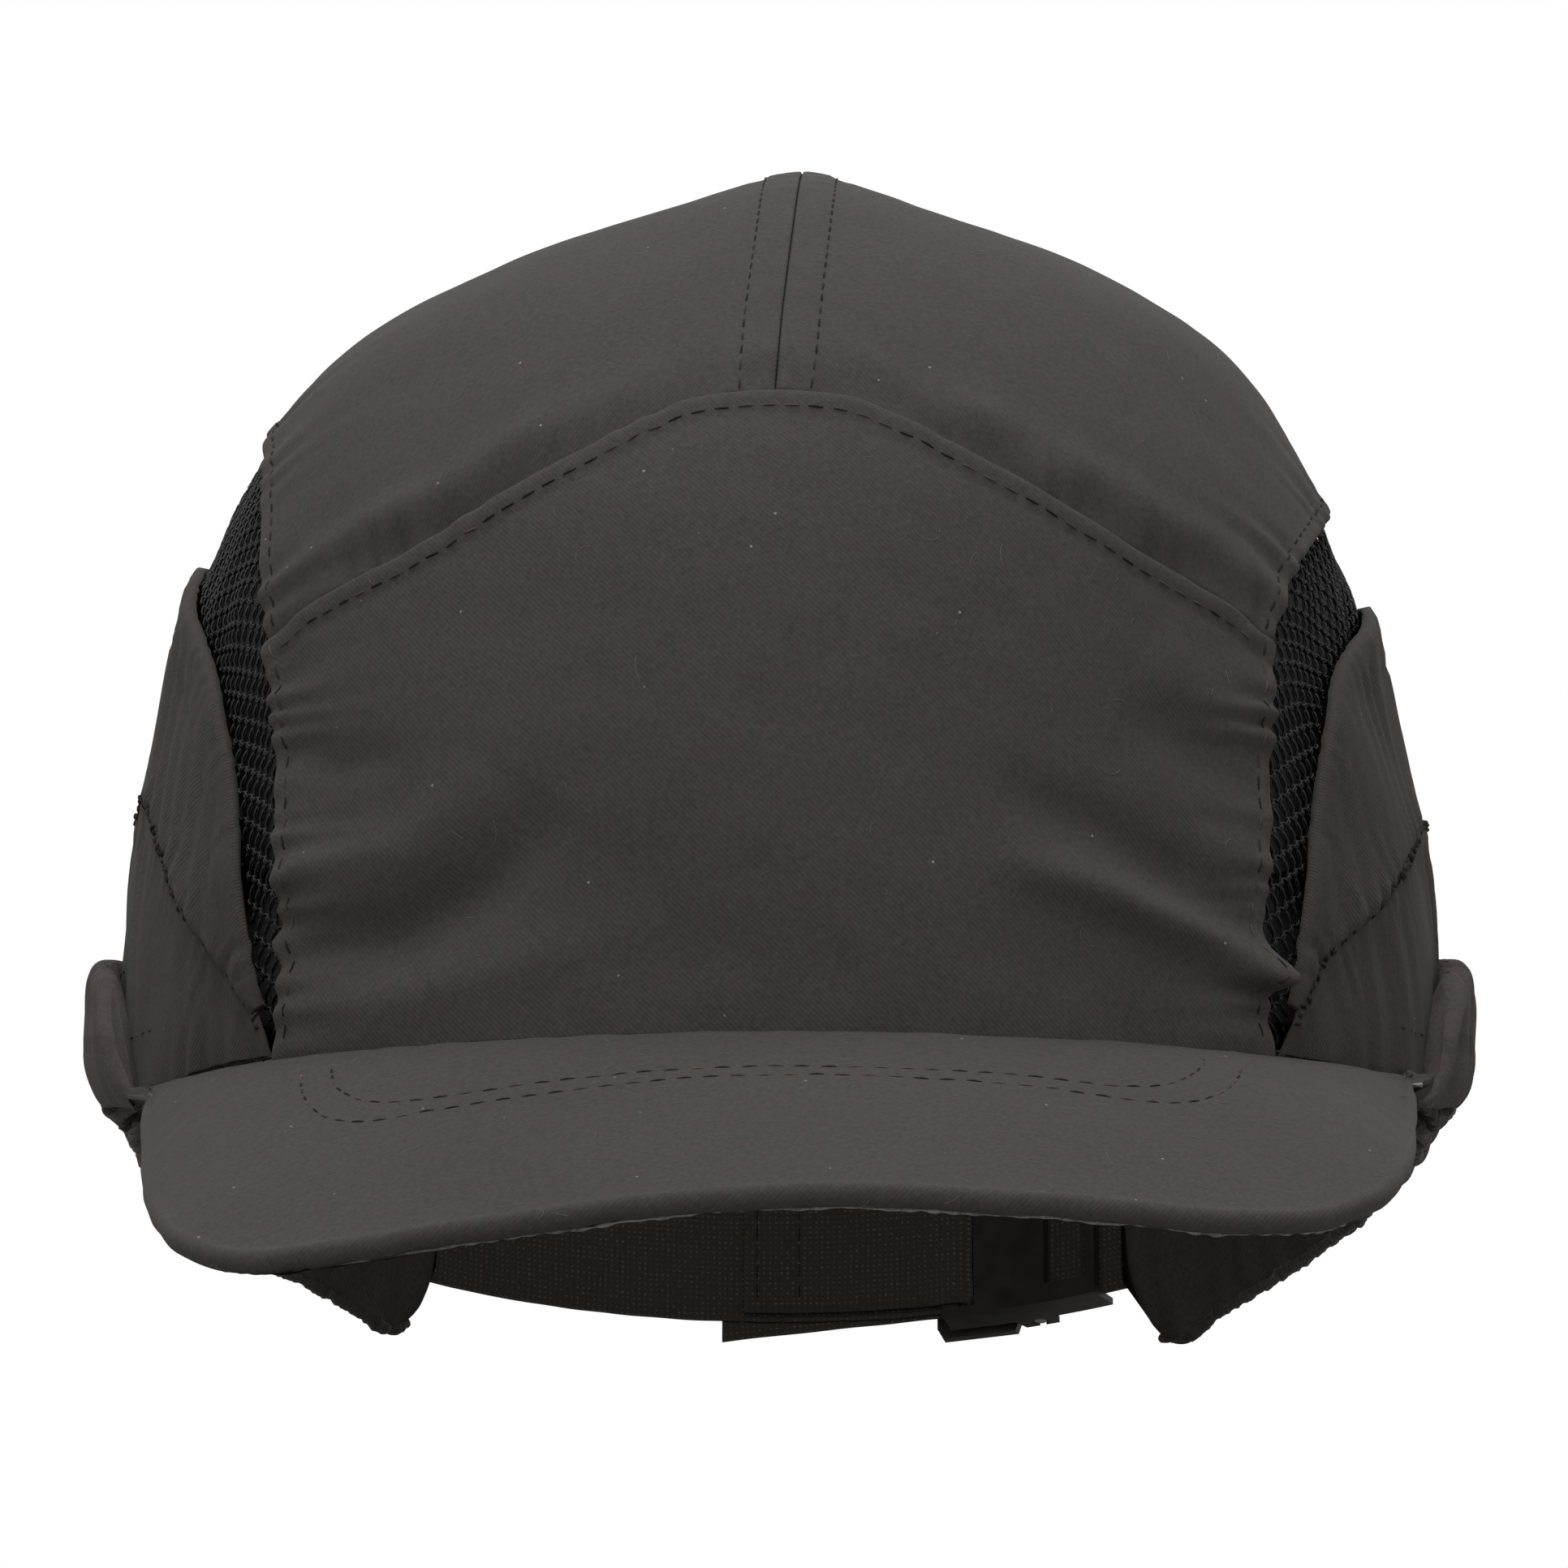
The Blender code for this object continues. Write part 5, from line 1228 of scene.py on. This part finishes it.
def makeStraps():
    degrees = np.linspace(band["tailEnd"], band["hiddenEnd"], 160)
    start = band["buckleStart"] - 1.0
    sag = band["tailSag"] * np.clip((start - degrees) / (start - band["tailEnd"]), 0.0, 1.0) ** 2
    makeStrap("free_strap_webbing", bandPoint(rightRadius, degrees, -sag), "strap_right", "free_strap")

    barRadius = band["leftRadius"] - band["loopBend"]
    barEnd = band["buckleStart"] + math.degrees(band["bar"] / barRadius)
    loop = barEnd - math.degrees(0.3 / barRadius)
    first = -band["channelEnd"] + 4.0
    path = [bandPoint(band["leftRadius"], np.linspace(first, loop, 170))]
    turn = bandPoint(barRadius, loop)
    outward = bandPoint(barRadius + 1.0, loop) - turn
    forward = np.cross(outward, bandUp)
    forward *= np.sign(forward[0])
    for k in range(1, 10):
        angle = math.pi * k / 10.0
        path.append((turn + outward * band["loopBend"] * math.cos(angle)
                     + forward * band["loopBend"] * math.sin(angle))[None])
    back = loop - math.degrees(band["loopReturn"] / barRadius)
    path.append(bandPoint(barRadius - band["loopBend"], np.linspace(loop, back, 56)))
    makeStrap("fixed_strap_webbing", np.vstack(path), "strap_left", "cap")
    # two rows of stitches hold the return of the webbing
    inner = barRadius - band["loopBend"] - band["thickness"] / 2.0 - 0.1
    rows = []
    for degrees in (back + 1.2, back + 5.2):
        height = np.linspace(-11.0, 11.0, 40)
        line = bandPoint(inner, degrees)[None] + bandUp * height[:, None]
        ways = np.tile(-(bandPoint(1.0, degrees) - np.array(band["centre"])), (40, 1))
        rows.append((fromEars(line), ways))
    sewn = stitches("fixed_strap_stitching", rows, darkThread, thread=0.2, seed=41)
    wear(sewn)
    print("straps woven")


def bandRow(inset, rise, azimuth):
    t = tAtHeight(azimuth, hemHeight(azimuth) + rise)
    places = disc(azimuth, t)
    return crownAt(places) - normalAt(places) * inset


def makeSweatband():
    # the layers from the crown's face inwards: the shell, the foam and the towelling's face
    shell, foam = cap["shellInset"] + 2.0 + 0.8, 2.2
    skin = shell + 0.5 + foam + 0.8
    azimuth = np.radians(np.linspace(-82.0, 82.0, 330))
    flange = [(1.6, 1.0), (3.2, 0.4), (5.4, 0.3), (7.6, 0.6), (skin - 0.2, 2.2)]
    rise = [(skin + 0.5 * math.sin(math.pi * k / 14.0), 4.0 + 27.0 * k / 14.0) for k in range(15)]
    rows = np.array([bandRow(inset, height, azimuth) for inset, height in flange + rise])
    lumps = 0.35 * drift(rows, 9.0, 121) + 0.12 * drift(rows, 2.4, 122)
    rows = rows + gridNormals(rows) * lumps[..., None] * 0.6
    points = fromEars(rows)
    towel = wear(cloth("sweatband_towelling", points, 0.9, towelling))
    outsideOut(towel)
    sheetOf(["sweatband"])
    foamRows = np.array([bandRow(shell + 0.6, height, np.radians(np.linspace(-80.0, 80.0, 200)))
                         for height in np.linspace(4.5, 28.0, 16)])
    core = cloth("sweatband_core", fromEars(foamRows), foam - 0.3, openFoam)
    wear(outsideOut(core))
    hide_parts("sweatband_foam")

    azimuth = np.radians(np.linspace(54.0, 69.0, 40))
    heights = np.linspace(7.0, 23.0, 30)
    label = fromEars(np.array([bandRow(skin + 1.5, height, azimuth) for height in heights]))
    tag = cloth("care_label_woven", label, 0.35, wovenLabel)
    wear(outsideOut(tag))
    sheetOf(["care_label"])
    print("sweatband folded")


def makeTapes():
    half = 6.0 / (2.0 * cap["halfWidth"])
    first = tAtHeight(np.array([0.0]), archSeam[1][0][1] * cap["height"])[0]
    last = tAtHeight(np.array([math.pi]), archTop[-1][1] * cap["height"])[0]
    places = np.array([[(x, -first + (last + first) * k / 160.0) for k in range(3, 157)]
                       for x in np.linspace(-half, half, 9)])
    points = settle(crownAt(places) - normalAt(places) * 1.75)
    ribbon = cloth("crown_seam_ribbon", points, 0.4, ribbonTape)
    wear(outsideOut(ribbon))
    sheetOf(["crown_seam_tape"])

    right = np.vstack([seam(archLow), seam(archMiddle)[1:], seam(archTop)[1:]])
    arch = along(np.vstack([right, (right * [-1, 1])[::-1][1:]]), np.linspace(0.0, 1.0, 300))
    edge, normals = crownAt(arch), normalAt(arch)
    forward = np.gradient(edge, axis=0)
    forward /= np.linalg.norm(forward, axis=-1, keepdims=True)
    inward = np.cross(forward, normals)
    inward *= np.sign((inward * (np.array([0.0, 0.0, -300.0]) - edge)).sum(-1))[:, None]
    angle = np.linspace(0.0, 2.0 * math.pi, 18, endpoint=False)
    c, s = np.cos(angle), np.sin(angle)
    section = np.stack([1.75 * np.sign(c) * np.abs(c) ** 0.6, 1.0 * np.sign(s) * np.abs(s) ** 0.6], -1)
    swell = 1.0 + 0.05 * drift(edge, 6.0, 131)
    rings = (edge + inward * 1.6 - normals * 0.6)[:, None] + swell[:, None, None] * (
        inward[:, None] * section[None, :, :1] + normals[:, None] * section[None, :, 1:])
    binding = loft("rear_opening_tape", fromEars(rings), ribbonTape)
    wear(binding)
    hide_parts("rear_opening_binding")
    # a 10 mm tape folded double round the edge, which hides about half of it
    line = fromEars(edge + inward * 1.9 + normals * 0.42)
    wear(stitches("rear_opening_stitching", [(line, normals)], darkThread, seed=43))
    print("tapes laid")


pads = dict(nodes=("crown_pad", "front_pad", "rear_pad", "side_pad_left", "side_pad_right"),
            voxel=1.6, pressure=4.0, frames=20, mostSwell=0.4)


def makePad(node):
    # closed-cell foam, cut from sheet: its faces crown a little and its edges round over
    mesh = frame["nodes"][node].data.copy()
    mesh.name = node + "_foam"
    mesh.materials.clear()
    pad = bpy.data.objects.new(node + "_foam", mesh)
    bpy.context.scene.collection.objects.link(pad)
    low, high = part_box(node)
    start = pad.modifiers.new("even", "REMESH")
    start.mode = "VOXEL"
    start.voxel_size = pads["voxel"] * mm
    applied(pad)
    rest = positions(pad)
    swell = pad.modifiers.new("swell", "CLOTH")
    swell.settings.use_pressure = True
    swell.settings.uniform_pressure_force = pads["pressure"]
    swell.settings.effector_weights.gravity = 0.0
    swell.point_cache.frame_end = pads["frames"]
    for step in range(1, pads["frames"] + 1):
        bpy.context.scene.frame_set(step)
    applied(pad)
    bpy.context.scene.frame_set(1)
    moved = positions(pad) - rest
    far = np.linalg.norm(moved, axis=-1, keepdims=True)
    place(pad, rest + moved * np.minimum(1.0, pads["mostSwell"] * mm / np.maximum(far, 1e-9)))
    ease = pad.modifiers.new("ease", "SMOOTH")
    ease.factor, ease.iterations = 0.6, 8
    fine = pad.modifiers.new("fine", "SUBSURF")
    fine.levels = fine.render_levels = 1
    applied(pad)
    pad.data.materials.append(evaFoam)
    pad.data.shade_smooth()
    wear(pad)
    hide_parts(node)
    print(node, "swollen", tuple(round(v * 1000) for v in high - low))


def dressHardNodes():
    for node, material in (("bump_shell", mouldedShell), ("buckle_frame", mouldedAcetal),
                           ("buckle_lever", mouldedAcetal), ("buckle_pin", drawnSteel)):
        for slot in frame["nodes"][node].material_slots:
            slot.material = material
    print("mouldings and pin finished")


room = dict(dim=0.55, key=12.0, top=11.0, inner=1.6)


def hangLamp(name, spot, aim, size, energy):
    light = bpy.data.lights.new(name, "AREA")
    light.energy, light.size = energy, size
    lamp = bpy.data.objects.new(name, light)
    bpy.context.scene.collection.objects.link(lamp)
    lamp.location = spot
    lamp.rotation_euler = (Vector(aim) - Vector(spot)).to_track_quat("-Z", "Y").to_euler()
    return lamp


def makeStage():
    world = bpy.data.worlds.new("studio")
    bpy.context.scene.world = world
    world.use_nodes = True
    # a white backdrop stands behind the cap, and the rest of the room is dimmer
    tree = world.node_tree
    way = add(tree, "SeparateXYZ", {}, {0: add(tree, "TexCoord", {}).outputs["Generated"]})
    glow = add(tree, "MapRange", {"interpolation_type": "SMOOTHSTEP", 1: 0.72, 2: 0.93,
                                  3: room["dim"], 4: 1.0}, {0: way.outputs["Y"]})
    tree.links.new(glow.outputs[0], tree.nodes["Background"].inputs["Strength"])
    tree.nodes["Background"].inputs["Color"].default_value = (1.0, 1.0, 1.0, 1.0)
    bpy.context.scene.view_settings.view_transform = "Standard"
    # the floor is seen only from above, so a camera below it looks through
    half = 2.5
    corners = np.array([[-half, -half, 0], [half, -half, 0], [half, half, 0], [-half, half, 0]], float)
    corners[:, 2] = -0.4 * mm
    material = bpy.data.materials.new("matPaperSweep")
    material.use_nodes = True
    tree = material.node_tree
    shader = tree.nodes["Principled BSDF"]
    shader.inputs["Base Color"].default_value = tone("a6a5a3")
    shader.inputs["Roughness"].default_value = 0.9
    clear = add(tree, "BsdfTransparent", {})
    facing = add(tree, "NewGeometry", {}).outputs["Backfacing"]
    both = add(tree, "MixShader", {}, {0: facing, 1: shader.outputs[0], 2: clear.outputs[0]})
    tree.links.new(both.outputs[0], tree.nodes["Material Output"].inputs["Surface"])
    meshFrom("floor", corners, [[0, 1, 2, 3]], material)
    hangLamp("keySoftbox", (-0.2, -0.75, 1.35), (0.0, 0.0, 0.08), 0.9, room["key"])
    hangLamp("topSoftbox", (0.0, 0.1, 1.5), (0.0, 0.0, 0.08), 0.9, room["top"])
    print("stage set")


def makeInnerFill():
    # a small lamp for the band at the back only, which the peak would leave in the dark
    lamp = hangLamp("innerFill", (0.0, -0.7, 0.1), (0.0, 0.12, 0.03), 0.3, room["inner"])
    lit = bpy.data.collections.new("bandAtTheBack")
    for thing in bpy.data.objects:
        atTheBack = thing.name.startswith(("free_strap", "fixed_strap", "buckle_", "rear_casing"))
        if atTheBack and thing.type == "MESH":
            lit.objects.link(thing)
    lamp.light_linking.receiver_collection = lit
    lamp.light_linking.blocker_collection = lit


# The eye is in front of the peak and looks up a little. The distance is in metres, and
# the width that it sees, the aim's height and the step to the right are in mm.
eye = dict(distance=1.4, target=74.6, pitch=5.4, width=216.0, shift=0.67)


def makeCamera():
    data = bpy.data.cameras.new("camera")
    data.lens = data.sensor_width * eye["distance"] / (eye["width"] * mm)
    data.clip_start, data.clip_end = 0.01, 50.0
    camera = bpy.data.objects.new("camera", data)
    bpy.context.scene.collection.objects.link(camera)
    pitch = math.radians(eye["pitch"])
    camera.location = (eye["shift"] * mm, earPlane - eye["distance"] * math.cos(pitch),
                       eye["target"] * mm - eye["distance"] * math.sin(pitch))
    camera.rotation_euler = (math.pi / 2.0 + pitch, 0.0, 0.0)
    bpy.context.scene.camera = camera


lint = dict(count=240, thickness=0.045)


def makeLint():
    # a few short fibres lie on the cloth, as on any worn cap
    dice = np.random.default_rng(7)
    paths = []
    for name, share in (("peak_top_cloth", 0.42), ("front_panel_cloth", 0.22),
                        ("crown_panel_left_cloth", 0.18), ("crown_panel_right_cloth", 0.18)):
        thing = bpy.data.objects[name]
        spots = positions(thing)
        spots = spots[:len(spots) // 2]
        tree = BVHTree.FromObject(thing, bpy.context.evaluated_depsgraph_get())
        for _ in range(round(lint["count"] * share)):
            spot = spots[dice.integers(len(spots))] + dice.normal(size=3) * 0.4 * mm
            heading = dice.normal(size=3)
            curl = dice.uniform(-1.3, 1.3)
            length = dice.choice([0.8, 1.4, 2.2, 3.6], p=[0.35, 0.3, 0.22, 0.13])
            line, ways = [], []
            for k in range(9):
                hit = tree.find_nearest(Vector(spot))
                way = np.array(hit[1])
                heading = heading - way * (heading @ way)
                heading = heading / np.linalg.norm(heading)
                line.append(np.array(hit[0]) + way * 0.05 * mm)
                ways.append(way)
                heading = heading + np.cross(way, heading) * curl / 8.0 * length / 1.5
                spot = line[-1] + heading * length / 8.0 * mm
            paths.append((np.array(line), np.array(ways)))
    fibres = ropes("lint_fibres", paths, lint["thickness"] / 2.0, lintFibre, sides=4)
    wear(fibres)
    print("lint laid")


makeStage()
makeCamera()
makeFrontPanel()
for side, name in ((-1, "left"), (1, "right")):
    makeCrownPanel(side, name)
    makeMeshPanel(side, name)
    makeSidePanel(side, name)
    makeEarBand(side, name)
    makeCasing(side, name)
makePeak()
makeStraps()
makeSweatband()
makeTapes()
makeLint()
for node in pads["nodes"]:
    makePad(node)
dressHardNodes()
makeInnerFill()
